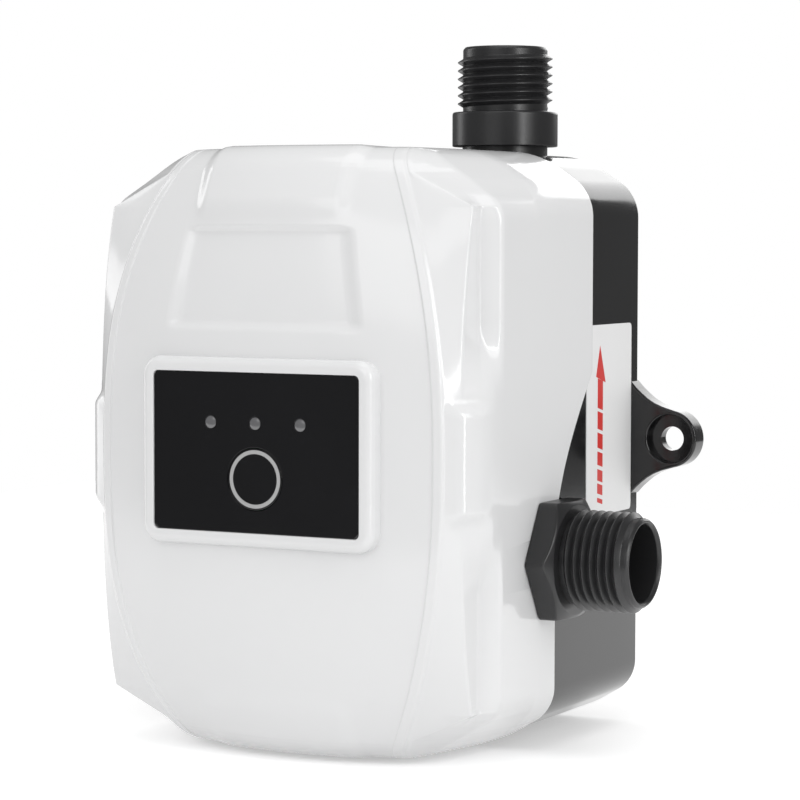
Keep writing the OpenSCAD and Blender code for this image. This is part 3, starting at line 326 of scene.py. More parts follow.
def along(x, y, z, axis):
    """Matrix that stands a lathed ring at a point, with its axis along X, Z or to the front."""
    turn = {"X": Matrix.Rotation(math.pi / 2, 4, "Y"), "Z": Matrix.Identity(4),
            "front": Matrix.Rotation(math.pi / 2, 4, "X")}[axis]
    return Matrix.Translation((x, y, z)) @ turn


# %% [markdown]
# ## The outline of the case
#
# From the front, the case is a tall octagon whose cut corners run into the sides and the top in
# soft curves. One function gives its half width at any height. A second one, with tighter
# curves, gives the front edge of the shell's side walls.

# %% Sizes of the case and its outline
HALF_W, HALF_H, DROP, FACE = 46.5, 63.4, 0.7, -88.0
CUT_ANGLE = 57
SLOPE = math.radians(CUT_ANGLE)
REAR_FLAT, REAR_SIDE_R, REAR_TOP_R = 0.776 * HALF_H, 10.0, 22.0
NOSE_FLAT, NOSE_SIDE_R, NOSE_TOP_R = 0.757 * HALF_H, 6.5, 12.0


def arc_centres(flat_h, side_r, top_r):
    """Centres of the arcs at the two ends of the cut corner: x of both, then height of the upper."""
    s, c = math.sin(SLOPE), math.cos(SLOPE)
    x1, h2 = HALF_W - side_r, HALF_H - top_r
    return x1, (x1 * c + flat_h * s + side_r - top_r - h2 * s) / c, h2


def outline(h, flat_h, side_r, top_r):
    """Half width at the height h: straight side, arc, cut corner, then the arc into the top."""
    s, c = math.sin(SLOPE), math.cos(SLOPE)
    x1, x2, h2 = arc_centres(flat_h, side_r, top_r)
    if h <= flat_h:
        return HALF_W
    if h <= flat_h + side_r * s:
        return x1 + math.sqrt(max(0, side_r * side_r - (h - flat_h) ** 2))
    if h <= h2 + top_r * s:
        return x1 + side_r * c - (h - flat_h - side_r * s) * math.tan(SLOPE)
    return x2 + math.sqrt(max(0, top_r * top_r - (min(h, h2 + top_r) - h2) ** 2))


def rear_x(h):
    return outline(h, REAR_FLAT, REAR_SIDE_R, REAR_TOP_R)


def nose_x(h):
    return outline(h, NOSE_FLAT, NOSE_SIDE_R, NOSE_TOP_R)


# %% Edge between shell and casing, and the height of a row
UPPER_EDGE, EDGE_STEP, STEP_TOP, STEP_H = -26.3, 18.5, 15.5, 36
CORNER_H, SQUEEZE = 48, 0.909


def parting(z):
    """Depth of the edge between shell and casing: it steps forward on its way down the side."""
    return UPPER_EDGE - EDGE_STEP * math.sin(math.pi / 2 * clamp((STEP_TOP - z) / STEP_H))


def level(h, up):
    """Height of a row above the origin. The lower corners are a little flatter than the upper ones."""
    return h - DROP if up > 0 else -min(h, CORNER_H + SQUEEZE * (h - CORNER_H)) - DROP


print("width at the cut corner:", [round(rear_x(h), 1) for h in (40, 50, 55, 60, 63.4)])

# %% [markdown]
# ## The front shell
#
# The shell is a barrel face with a raised strip along each side, a long pocket behind each
# strip with a bridge beside the panel, a broad band at the top and bottom and a shallow hollow
# above the panel. It could be carved from a block, but its section changes all the way up. So
# one section is drawn as a function of the height, the first row is laid down as a chain of
# edges, and every further row is an extrusion of the row before. The corners of the section are
# rounded with a fixed number of points, so all rows match.

# %% Sizes of the shell's front, from its middle to its sides
# The heights of the hollow, the band, the flank, the side and the pocket, and their ramps, are
# shares of the half height. Everything else is in millimetres.
BARREL, CROWN_R = 9.5, 5
HOLLOW_LOW, HOLLOW_HIGH, HOLLOW_RAMP, HOLLOW_SIDE = 0.41, 0.75, 0.03, 2.6
BAND_HALF_W, HOLLOW_HALF_W, HOLLOW_SPLAY = 15.6, 16.8, 3.7
BAND_LOW, BAND_RAMP, BAND_ROLL = 0.74, 0.1, 0.9
STRIP_IN, STRIP_LEAN, STRIP_BACK, STRIP_FALL, STRIP_W = 6.4, 15.2, 3.8, 10.2, 2.2
FLANK_IN, FLANK_BACK, FLANK_FALL, FLANK_TOP, FLANK_ANGLE = 3.8, 7.1, 4.7, 0.808, math.radians(63.3)
SIDE_BACK, SIDE_FALL, SIDE_TOP, SIDE_RAMP = 17.3, 1.5, 0.76, 0.15
POCKET_BACK, POCKET_TOP, POCKET_RAMP = 14.9, 0.86, 0.07
BRIDGE = [(HALF_W - 3.1, FACE + 5.6), (HALF_W - 0.8, FACE + 9), (HALF_W - 0.1, FACE + 12.5)]
BRIDGE_TOP, BRIDGE_RAMP, LAST_FROM, LAST_RAMP = 9.5, 3.5, 13, 15
SIDE_Y, LIP = FACE + 36, 1.2


# %% Relief of the face
def face_relief(s, z, up):
    """Depth of the hollow or height of the band, then the height that the band's row rolls to."""
    hollow = 0
    if up > 0:
        hollow = smooth((s - HOLLOW_LOW) / HOLLOW_RAMP) * smooth((HOLLOW_HIGH - s) / HOLLOW_RAMP)
    band = smooth((s - BAND_LOW) / BAND_RAMP)
    band_out, band_rise = (1.2, 0.5) if up > 0 else (0.4, 0.3)
    return hollow - band_out * band, z + up * band_rise * smooth((s - BAND_ROLL) / BAND_RAMP)


def rear_lip(h, z, up):
    """Last point of a section, on the inner side of the rear edge."""
    tilt = (rear_x(min(h + 0.05, HALF_H)) - rear_x(h - 0.05)) / 0.1
    normal = Vector((1, -tilt)).normalized() if h < HALF_H - 0.01 else Vector((0, 1))
    return (rear_x(h) - LIP * normal[0], parting(z), z - up * LIP * normal[1])


# %% Section of the shell at one height
def section(h, up):
    s, z = h / HALF_H, level(h, up)
    rx, nx = rear_x(h), nose_x(h)
    t = clamp((h - HALF_H + CROWN_R) / CROWN_R)
    crown = CROWN_R * (1 - math.sqrt(max(0, 1 - t * t)))
    middle = FACE + BARREL * s ** 4 + crown
    lift, roll_z = face_relief(s, z, up)
    strip_x = min(HALF_W - STRIP_IN - STRIP_LEAN * s ** 2.5, nx - 1.4)
    strip_y = FACE + STRIP_BACK + STRIP_FALL * s ** 3.6 + crown
    splay = HOLLOW_SPLAY * clamp((HOLLOW_HIGH - s) / (HOLLOW_HIGH - HOLLOW_LOW))
    inner = min(BAND_HALF_W if s > HOLLOW_HIGH else HOLLOW_HALF_W + splay, strip_x - 6)
    outer = inner + HOLLOW_SIDE
    edge = strip_x - STRIP_W

    def on_face(x):
        return middle + (strip_y - middle) * (x / strip_x) ** 2

    cut = max(0, h - FLANK_TOP * HALF_H) * math.tan(FLANK_ANGLE)
    flank_x = min(nx - 0.3, max(strip_x + 1, HALF_W - FLANK_IN - cut))
    flank_y = max(strip_y + 0.5, FACE + FLANK_BACK + FLANK_FALL * min(1, s / FLANK_TOP) ** 3 + crown)
    side_y = FACE + SIDE_BACK + SIDE_FALL * smooth((s - SIDE_TOP) / SIDE_RAMP) + 0.8 * crown
    pocket = smooth((POCKET_TOP - s) / POCKET_RAMP)
    floor_x = mix((flank_x + nx) / 2, flank_x - 0.4, pocket)
    floor_y = mix((flank_y + side_y) / 2, FACE + POCKET_BACK, pocket)
    bridge = 1 - smooth((h - BRIDGE_TOP) / BRIDGE_RAMP)
    last = 1 - smooth((h - LAST_FROM) / LAST_RAMP)
    valley = [((strip_x + flank_x) / 2, (strip_y + flank_y) / 2), (flank_x, flank_y), (floor_x, floor_y)]
    steps = zip(valley, BRIDGE, (bridge, bridge, last))
    near, low, far = [(mix(x, to_x, part), mix(y, to_y, part), z) for (x, y), (to_x, to_y), part in steps]
    points = [((inner * k / 5, on_face(inner * k / 5) + lift, roll_z), 0) for k in range(5)]
    points += [((inner, on_face(inner) + lift, roll_z), 1.0), ((outer, on_face(outer), z), 1.0)]
    points += [((x, on_face(x), z), 0) for x in [mix(outer, edge, k / 5) for k in range(1, 5)]]
    points += [
        ((edge, on_face(edge), z), 0.2),
        ((edge + 0.3, on_face(edge + 0.3) - 0.3, z), 0.22),
        ((strip_x - 0.25, on_face(strip_x - 0.25) - 0.3, z), 0.5),
        ((strip_x + 0.25, strip_y + 0.35, z), 0.3),
        (near, 1.5),
        (low, 0.55 + 2 * bridge),
        (far, 0.8 + 2 * last),
        ((nx, side_y, z), 1.0),
        ((rx, SIDE_Y, z), 3.0),
        ((rx, parting(z), z), 0.35),
        (rear_lip(h, z, up), 0),
    ]
    return rounded(points)


columns = len(section(0, 1))
print("points in half a section:", columns)


# %% Heights of the rows, closer where the shape changes
LEAST_STEP, FOLD_DEPTH = 0.09, 6


def spread(start, step, count):
    return [start + step * k for k in range(count)]


def arc_heights(radius, steps):
    """Heights on the arc that ends at the top of the case."""
    turns = [math.radians(CUT_ANGLE + (90 - CUT_ANGLE) * k / steps) for k in range(steps + 1)]
    return [HALF_H - radius + radius * math.sin(a) for a in turns]


def row_heights():
    """Rows a millimetre apart, closer at the bridges, the hollow, the bands and the arcs."""
    marks = spread(0, 1.0, 63) + spread(9, 0.5, 18) + spread(25, 0.5, 8) + spread(46, 0.35, 32)
    marks += [HALF_H - CROWN_R + CROWN_R * math.sin(math.pi / 2 * k / 10) for k in range(11)]
    marks += arc_heights(REAR_TOP_R, 14) + arc_heights(NOSE_TOP_R, 8)
    kept = []
    for h in sorted(marks):
        if not kept or h - kept[-1] > LEAST_STEP:
            kept.append(h)
    kept[-1] = HALF_H
    return kept


# %% Lay down the rows and close the top and bottom
def shell_rows():
    """All rows from the rear edge of the bottom, up the front, to the rear edge of the top."""
    heights = row_heights()

    def over(up):
        base = section(HALF_H, up)
        flat_z = level(HALF_H, up)
        front, rear = base[0].y, base[-1].y
        first = max(k for k in range(columns) if base[k].y < base[5].y + FOLD_DEPTH) + 1
        rows = []
        for k in range(first, columns):
            row = []
            for c in range(columns):
                if c >= k:
                    row.append(base[c])
                    continue
                y = max(base[c].y, base[k].y)
                fade = 1 - clamp((y - front) / (rear - front))
                row.append(Vector((base[c].x, y, base[k].z + (base[c].z - flat_z) * fade)))
            rows.append(row)
        return rows

    down = [section(h, -1) for h in reversed(heights)]
    rise = [section(h, 1) for h in heights[1:]]
    return list(reversed(over(-1))) + down + rise + over(1)


bm = bmesh.new()
number = bm.verts.layers.int.new("column")
rows = shell_rows()
edges = chain(bm, rows[0])
for k, v in enumerate(bm.verts):
    v[number] = k
for row in rows[1:]:
    edges = pull(bm, edges, lambda v: row[v[number]])
bmesh.ops.remove_doubles(bm, verts=bm.verts, dist=0.002)
bmesh.ops.mirror(bm, geom=bm.verts[:] + bm.edges[:] + bm.faces[:], matrix=Matrix.Identity(4),
                 merge_dist=0.003, axis="X")
bmesh.ops.dissolve_degenerate(bm, dist=0.0005, edges=bm.edges)
bmesh.ops.recalc_face_normals(bm, faces=bm.faces)
front_face = min(bm.faces, key=lambda f: f.calc_center_median().y)
if front_face.normal.y > 0:
    bmesh.ops.reverse_faces(bm, faces=bm.faces)
print("rows:", len(rows), "faces:", len(bm.faces))


# %% [markdown]
# The shell needs two openings: one behind the panel and one for the inlet. While it is still a
# single skin, planes that cut only the faces nearby are the safest way, and the faces within are
# deleted. Both openings are hidden, so straight cuts are enough. Then Solidify gives the wall.

# %% Openings and wall of the shell
INLET_Y, INLET_Z, OUTLET_X, OUTLET_Y, PANEL_Z = -46.3, -22.5, 19.0, -13.0, 0.6
PANEL_HOLE_X, PANEL_HOLE_Z, INLET_HOLE, OUTLET_HOLE = 22, 14, 9.8, 9.7


def open_skin(bm, near, planes):
    """Cuts the faces near the opening with each plane, then deletes what lies behind them all."""
    for place, normal in planes:
        faces = [f for f in bm.faces if near(f.calc_center_median())]
        parts = set(faces) | {e for f in faces for e in f.edges} | {v for f in faces for v in f.verts}
        bmesh.ops.bisect_plane(bm, geom=list(parts), plane_co=place, plane_no=normal, dist=0.001)

    def behind(c):
        return near(c) and all((c - Vector(place)).dot(Vector(normal)) < 0 for place, normal in planes)

    within = [f for f in bm.faces if behind(f.calc_center_median())]
    bmesh.ops.delete(bm, geom=within, context="FACES")
    print("opening:", len(within), "faces")


open_skin(bm, lambda c: c.y < -80 and abs(c.x) < 30 and abs(c.z - PANEL_Z) < 22,
          [((PANEL_HOLE_X, 0, 0), (1, 0, 0)), ((-PANEL_HOLE_X, 0, 0), (-1, 0, 0)),
           ((0, 0, PANEL_Z + PANEL_HOLE_Z), (0, 0, 1)), ((0, 0, PANEL_Z - PANEL_HOLE_Z), (0, 0, -1))])
inlet_centre = Vector((0, INLET_Y, INLET_Z))
sides = [Vector((0, math.cos(a), math.sin(a))) for a in [math.radians(45 * k) for k in range(8)]]
open_skin(bm, lambda c: c.x > 44 and math.hypot(c.y - INLET_Y, c.z - INLET_Z) < 16,
          [(inlet_centre + side * INLET_HOLE, side) for side in sides])
shell = piece("shell_skin", bm, "shell_white", stands_for=["front_shell"])
shell.modifiers.clear()
SHELL_WALL = 2.0
thick = shell.modifiers.new("wall", "SOLIDIFY")
thick.thickness = SHELL_WALL * MM
thick.offset = -1
shell.modifiers.new("even shading", "WEIGHTED_NORMAL").keep_sharp = True

# %% [markdown]
# The casing's openings are round and one of them is seen, so they are cut with a boolean. The
# modifiers are applied, so that the cutter can go.

# %% Helpers that cut round openings
def cutter(bars):
    bm = bmesh.new()
    for place, axis, radius, length in bars:
        spot = along(*place, axis) @ Matrix.Translation((0, 0, length / 2))
        bmesh.ops.create_cone(bm, cap_ends=True, segments=64, radius1=radius, radius2=radius,
                              depth=length, matrix=spot)
    mesh = bpy.data.meshes.new("cutter")
    bm.to_mesh(mesh)
    bm.free()
    mesh.transform(Matrix.Scale(MM, 4))
    obj = bpy.data.objects.new("cutter", mesh)
    scene.collection.objects.link(obj)
    return obj


def carve(obj, tool):
    """Cuts tool out of obj, applies the cut and removes the tool."""
    cut = obj.modifiers.new("cut", "BOOLEAN")
    cut.operation = "DIFFERENCE"
    cut.solver = "EXACT"
    cut.object = tool
    even = obj.modifiers.find("even shading")
    if even >= 0:
        obj.modifiers.remove(obj.modifiers[even])
    bpy.context.view_layer.update()
    done = bpy.data.meshes.new_from_object(obj.evaluated_get(bpy.context.evaluated_depsgraph_get()))
    obj.modifiers.clear()
    obj.data = done
    bpy.data.objects.remove(tool)
    done.polygons.foreach_set("use_smooth", [True] * len(done.polygons))
    done.set_sharp_from_angle(angle=math.radians(40))
    obj.modifiers.new("even shading", "WEIGHTED_NORMAL").keep_sharp = True
    print(obj.name, "after the cut:", len(done.polygons), "faces")


# %% [markdown]
# ## The rear casing
#
# The casing is the same outline, half a millimetre smaller, carried forward from the wall to
# the edge of the shell. That edge slopes down the side, so the last rows follow the parting
# curve. The edge at the wall and the edge at the shell are rounded.

# %% Outline of the casing as one closed loop
def outline_points(inset):
    x1, x2, h2 = arc_centres(REAR_FLAT, REAR_SIDE_R, REAR_TOP_R)
    side_r, top_r = REAR_SIDE_R - inset, REAR_TOP_R - inset
    rest = math.pi / 2 - SLOPE
    side_turns = [SLOPE * k / 10 for k in range(11)]
    top_turns = [SLOPE + rest * k / 16 for k in range(17)]
    quarter = [(HALF_W - inset, REAR_FLAT * k / 40) for k in range(40)]
    quarter += [(x1 + side_r * math.cos(a), REAR_FLAT + side_r * math.sin(a)) for a in side_turns]
    quarter += [(x2 + top_r * math.cos(a), h2 + top_r * math.sin(a)) for a in top_turns]
    quarter += [(x2 * (1 - k / 8), HALF_H - inset) for k in range(1, 9)]
    upper = quarter + [(-x, h) for x, h in reversed(quarter[1:-1])] + [(-quarter[0][0], 0)]
    return [(x, level(h, 1)) for x, h in upper] + [(-x, level(h, -1)) for x, h in upper[1:-1]]


# %% Rows of the casing, from the wall side to the floor inside
CASING_IN, WALL_ROUND, EDGE_ROUND, CASING_WALL, CASING_FLOOR = 0.5, 1.2, 0.4, 3.0, 2.5


def casing_rows():
    """Each row is its inset and a function that gives its depth at a height."""
    rows = []
    for a in [math.pi / 2 * k / 5 for k in range(6)]:
        rows.append((CASING_IN + WALL_ROUND - WALL_ROUND * math.sin(a),
                     lambda z, a=a: -WALL_ROUND * (1 - math.cos(a))))
    for k in range(1, 6):
        rows.append((CASING_IN, lambda z, k=k: mix(-WALL_ROUND, parting(z) + EDGE_ROUND, k / 5)))
    for a in [math.pi / 2 * k / 3 for k in range(1, 4)]:
        rows.append((CASING_IN + EDGE_ROUND * (1 - math.cos(a)),
                     lambda z, a=a: parting(z) + EDGE_ROUND * (1 - math.sin(a))))
    return rows + [(CASING_WALL, parting), (CASING_WALL, lambda z: -CASING_FLOOR)]


def row_place(ring, depth):
    """Gives each vertex its point of the ring, at the depth that belongs to its height."""
    def place(v):
        x, z = ring[v[number]]
        return Vector((x, depth(z), z))
    return place


# %% Casing wall
bm = bmesh.new()
number = bm.verts.layers.int.new("column")
rows = casing_rows()
first = outline_points(rows[0][0])
edges = chain(bm, [(x, 0, z) for x, z in first], closed=True)
for k, v in enumerate(bm.verts):
    v[number] = k
back_edges = edges
for inset, depth in rows[1:]:
    edges = pull(bm, edges, row_place(outline_points(inset), depth))
bmesh.ops.edgeloop_fill(bm, edges=back_edges)
bmesh.ops.edgeloop_fill(bm, edges=edges)
bmesh.ops.recalc_face_normals(bm, faces=bm.faces)
print("rows:", len(rows), "points in a row:", len(first))
casing = piece("casing_skin", bm, "casing_black", stands_for=["rear_casing"])

# %% Cut the screw wells and the openings of the fittings and the cord
POST_X, POST_Z, UPPER_WELL, LOWER_WELL, WELL_R = 36.5, 54.52, 3.05, 23.05, 3.3
CORD_X, CORD_Y, CORD_HOLE = -20, -13, 4.2
wells = [(side * POST_X, -DROP + half * POST_Z, UPPER_WELL if half > 0 else LOWER_WELL)
         for side in (-1, 1) for half in (-1, 1)]
bars = [((x, 1, z), "front", WELL_R, 5) for x, z, depth in wells]
bars += [((OUTLET_X, OUTLET_Y, 56), "Z", OUTLET_HOLE, 12), ((38, INLET_Y, INLET_Z), "X", INLET_HOLE, 14),
         ((CORD_X, CORD_Y, -66), "Z", CORD_HOLE, 8)]
carve(casing, cutter(bars))

# %% [markdown]
# ## Ears and screw wells
#
# The two ears are flat tongues at the wall, each with a hole in a round sinking. Their outline
# is filled as a plate with a hole, the holes are pulled back in steps, and the front edges are
# beveled. The four case screws sit in round wells in the back.

# %% One ear, then its mirror image
def plate_fill(bm, edges, normal):
    bmesh.ops.triangle_fill(bm, use_beauty=True, use_dissolve=False, edges=edges, normal=normal)


bm = bmesh.new()
EAR_X, EAR_R, EAR_T, ROOT, HOLE_R, SINK = 55.2, 6.3, 4.6, 12.4, 2.65, 2
shares = [(0, 1), (0.14, 0.885), (0.27, 0.8), (0.42, 0.71), (0.6, 0.63), (0.8, 0.57)]
upper = [(44.85, ROOT + 0.6)] + [(46 + a * 9.2, b * ROOT) for a, b in shares]
round_end = [(EAR_X + EAR_R * math.cos(a), EAR_R * math.sin(a))
             for a in [math.radians(80 - 160 * k / 28) for k in range(29)]]
loop = upper + round_end + [(x, -z) for x, z in reversed(upper)]
outer = chain(bm, [(x, 0, z) for x, z in loop], closed=True)
hole = chain(bm, [(EAR_X + x, 0, z) for x, z in circle(HOLE_R, 48)], closed=True)
plate_fill(bm, outer + hole, (0, 1, 0))
outer_top = pull(bm, outer, shift((0, -EAR_T, 0)))
inner = pull(bm, hole, shift((0, -EAR_T + SINK, 0)))
wide = pull(bm, inner, lambda v: Vector((EAR_X + (v.co.x - EAR_X) * 2, v.co.y, v.co.z * 2)))
sink_top = pull(bm, wide, shift((0, -SINK, 0)))
plate_fill(bm, outer_top + sink_top, (0, -1, 0))
bmesh.ops.remove_doubles(bm, verts=bm.verts, dist=0.001)
bmesh.ops.recalc_face_normals(bm, faces=bm.faces)
soften(bm, rims(bm, lambda c: c.y < -EAR_T + 0.01), 0.5, 3)
bmesh.ops.mirror(bm, geom=bm.verts[:] + bm.edges[:] + bm.faces[:], matrix=Matrix.Identity(4),
                 merge_dist=0, axis="X")
bmesh.ops.recalc_face_normals(bm, faces=bm.faces)
piece("wall_ears", bm, "casing_black")

# %% Cups of the screw wells
bm = bmesh.new()
for x, z, depth in wells:
    spot = along(x, 0, z, "front") @ Matrix.Rotation(math.pi, 4, "X")
    lathe(bm, [((3.2, -0.05), 0), ((3.2, -depth), 0), ((0, -depth), 0), ((0, -depth - 1), 0),
               ((4.0, -depth - 1), 0), ((4.0, -0.6), 0)], spot, 48)
piece("screw_wells", bm, "casing_black")

# %% [markdown]
# ## The two threaded fittings
#
# A pipe thread is a ridge wound round a tube. Spin turns a short profile about the axis and
# lifts it a little at each step, so the turns join into one ridge. At both ends the ridge runs
# out into the tube. The tube itself, with its collar and its bore, is lathed from one profile.
#
# The inlet has a hexagon with a turned chamfer, which meets the flats in curved lines. A bevel
# of a six-sided block gives straight lines, so the hexagon is a ring of many points instead. It
# is pulled row by row, and one function gives its radius in each direction.

# %% The wound ridge
PITCH, THREAD_R, ROOT_R = 1.814, 10.4775, 9.3155
TURN_STEPS, RUN_IN, RUN_OUT, SUNK = 72, 0.3, 0.4, 0.05


def thread(bm, matrix, start, turns):
    fresh = bmesh.new()
    layer = fresh.verts.layers.int.new("place on the ridge")
    marks = [(ROOT_R, 0.0), (ROOT_R + 0.1, 0.17), (THREAD_R - 0.16, 0.72), (THREAD_R - 0.03, 0.8),
             (THREAD_R, 0.9), (THREAD_R - 0.03, 1.0), (THREAD_R - 0.16, 1.08), (ROOT_R + 0.1, 1.64),
             (ROOT_R, PITCH)]
    edges = chain(fresh, [(r, 0, start + h) for r, h in marks])
    for k, v in enumerate(fresh.verts):
        v[layer] = k
    bmesh.ops.spin(fresh, geom=fresh.verts[:] + edges, cent=(0, 0, 0), axis=(0, 0, 1),
                   angle=2 * math.pi * turns, dvec=(0, 0, PITCH / TURN_STEPS),
                   steps=int(turns * TURN_STEPS))
    for v in fresh.verts:
        turned = (v.co.z - start - marks[v[layer]][1]) / PITCH
        keep = smooth(turned / RUN_IN) * smooth((turns - turned) / RUN_OUT)
        r = math.hypot(v.co.x, v.co.y)
        wanted = ROOT_R - SUNK + (r - ROOT_R + SUNK) * keep
        v.co.x *= wanted / r
        v.co.y *= wanted / r
    bmesh.ops.remove_doubles(fresh, verts=fresh.verts, dist=0.002)
    bmesh.ops.recalc_face_normals(fresh, faces=fresh.faces)
    if sum(f.normal.xy.dot(f.calc_center_median().xy) for f in fresh.faces) < 0:
        bmesh.ops.reverse_faces(fresh, faces=fresh.faces)
    bmesh.ops.transform(fresh, matrix=matrix, verts=fresh.verts)
    add_to(bm, fresh)


# %% The open end of a tube
BORE_R, NECK_R, RIM_BREAK = 8, 9.5, 0.2


def open_end(end):
    """Profile of a tube's open end, with both edges broken."""
    return [((ROOT_R, end - 0.6), RIM_BREAK), ((ROOT_R - 0.5, end), RIM_BREAK),
            ((BORE_R + 0.5, end), RIM_BREAK), ((BORE_R, end - 0.7), RIM_BREAK)]


# %% Outlet
COLLAR_Z, COLLAR_R, THREAD_Z, OUTLET_END = 64.1, 11.65, 71.7, 86.0
bm = bmesh.new()
spot = along(OUTLET_X, OUTLET_Y, 0, "Z")
lathe(bm, [((6, 44), 0), ((7.5, 44), 0.3), ((7.5, 56), 0), ((9.4, 56), 0), ((9.4, COLLAR_Z), 0),
           ((COLLAR_R, COLLAR_Z), 0.35), ((COLLAR_R, THREAD_Z), 0.6), ((ROOT_R, THREAD_Z), 0.3)]
      + open_end(OUTLET_END) + [((BORE_R, COLLAR_Z), 0), ((6, COLLAR_Z - 1), 0)], spot)
thread(bm, spot, THREAD_Z - 0.1, 6.6)
piece("outlet_spout", bm, "fitting_black", stands_for=["outlet_fitting"])

# %% Inlet with its hexagon
HEX_X, HEX_L, INLET_END = 46.55, 5.6, 67.5
HALF_FLATS, FLAT_R, HEX_HOLE, CORNER_POWER = 12.2, 11.5, 9.1, 60


def hex_radius(a):
    """Radius of the hexagon in the direction a. A higher power makes its corners sharper."""
    shares = [max(0, math.cos(a - math.radians(60 * k + 30))) ** CORNER_POWER for k in range(6)]
    return HALF_FLATS * sum(shares) ** (-1 / CORNER_POWER)


def chamfer(r):
    """Where the side face ends: the turned chamfer takes more off the corners than off the flats."""
    return HEX_L - (r - FLAT_R) * math.tan(math.radians(30))


def hex_row(row):
    """Puts each vertex where row(radius of the hexagon there) says, as (length, radius)."""
    def place(v):
        a = math.atan2(v.co.z, v.co.y)
        x, r = row(hex_radius(a))
        return Vector((HEX_X + x, r * math.cos(a), r * math.sin(a)))
    return place


bm = bmesh.new()
spot = along(0, INLET_Y, INLET_Z, "X")
face_x = HEX_X + HEX_L
lathe(bm, [((BORE_R, 31), 0), ((NECK_R, 31), 0.3), ((NECK_R, 47), 0), ((NECK_R, face_x - 0.2), 0),
           ((ROOT_R, face_x - 0.2), 0)] + open_end(INLET_END), spot)
thread(bm, spot, face_x - 0.3, 7.3)
fresh = bmesh.new()
first = chain(fresh, [(HEX_X, y, z) for y, z in circle(HEX_HOLE, 144)], closed=True)
edges = first
for row in (lambda r: (0, r - 0.4), lambda r: (0.12, r - 0.12), lambda r: (0.4, r),
            lambda r: (chamfer(r) - 0.3, r), lambda r: (chamfer(r) - 0.05, r - 0.07),
            lambda r: (chamfer(r) + 0.15, r - 0.28), lambda r: (HEX_L - 0.05, FLAT_R + 0.1),
            lambda r: (HEX_L, FLAT_R - 0.1), lambda r: (HEX_L, HEX_HOLE)):
    edges = pull(fresh, edges, hex_row(row))
bmesh.ops.bridge_loops(fresh, edges=first + edges)
bmesh.ops.recalc_face_normals(fresh, faces=fresh.faces)
bmesh.ops.translate(fresh, vec=(0, INLET_Y, INLET_Z), verts=fresh.verts)
add_to(bm, fresh)
piece("inlet_spout", bm, "fitting_black", stands_for=["inlet_fitting"])


# %% [markdown]
# ## The panel
#
# A rounded frame stands out from the shell and holds a black glossy plate. The frame starts as
# a rectangle whose corners are beveled, then an inset makes it a ring. The plate is filled round
# four holes: one for the key and three for the lamps.

# %% Rounded rectangle, as one face looking to the front
def rectangle(bm, width, height, radius, y):
    made = bmesh.ops.create_grid(bm, x_segments=1, y_segments=1, size=0.5)["verts"]
    size = Matrix.Diagonal((width, height, 1, 1))
    bmesh.ops.transform(bm, verts=made, matrix=Matrix.Translation((0, y, PANEL_Z))
                        @ Matrix.Rotation(math.pi / 2, 4, "X") @ size)
    bmesh.ops.bevel(bm, geom=made, offset=radius, segments=8, profile=0.5, affect="VERTICES",
                    material=-1)


# %% Frame
BEZEL_Y, BEZEL_W, BEZEL_H, BEZEL_R, BEZEL_RIM, BEZEL_T = -89.9, 54.2, 38.6, 4.0, 2.95, 4.4
LABEL_Y, LABEL_W, LABEL_H, LABEL_R, LABEL_T = -89.5, 48.2, 32.6, 1.2, 1.05
bm = bmesh.new()
rectangle(bm, BEZEL_W, BEZEL_H, BEZEL_R, BEZEL_Y)
bmesh.ops.inset_region(bm, faces=bm.faces[:], thickness=BEZEL_RIM, use_even_offset=True,
                       use_boundary=True)
middle = max(bm.faces, key=lambda f: f.calc_area())
bmesh.ops.delete(bm, geom=[middle], context="FACES_ONLY")
thicken(bm, (0, BEZEL_T, 0))
bmesh.ops.recalc_face_normals(bm, faces=bm.faces)


def front_rims(bm, inside):
    """Edges of the frame's front face, those of the inner border or those of the outer one."""
    def by_label(c):
        return abs(c.x) < LABEL_W / 2 + 0.5 and abs(c.z - PANEL_Z) < LABEL_H / 2 + 0.5

    edges = rims(bm, lambda c: abs(c.y - BEZEL_Y) < 0.01)
    return [e for e in edges if all(by_label(v.co) for v in e.verts) == inside]


soften(bm, front_rims(bm, False), 1.7, 8)
soften(bm, front_rims(bm, True), 0.25, 3)
piece("panel_bezel", bm, "shell_white")

# %% Black plate with its four holes
KEY_Z, KEY_HOLE, LENS_Z, LENS_STEP, LENS_HOLE = -4.7, 6.45, 6.6, 10.5, 1.32
bm = bmesh.new()
rectangle(bm, LABEL_W, LABEL_H, LABEL_R, LABEL_Y)
bmesh.ops.delete(bm, geom=bm.faces[:], context="FACES_ONLY")
border = bm.edges[:]
holes = [(0, KEY_Z, KEY_HOLE, 96)] + [(k * LENS_STEP, LENS_Z, LENS_HOLE, 32) for k in (-1, 0, 1)]
for x, z, radius, count in holes:
    border += chain(bm, [(x + a, LABEL_Y, z + b) for a, b in circle(radius, count)], closed=True)
plate_fill(bm, border, (0, -1, 0))
thicken(bm, (0, LABEL_T, 0))
bmesh.ops.recalc_face_normals(bm, faces=bm.faces)
soften(bm, rims(bm, lambda c: abs(c.y - LABEL_Y) < 0.01), 0.12, 2)
piece("label_plate", bm, "label_black", stands_for=["control_label"])

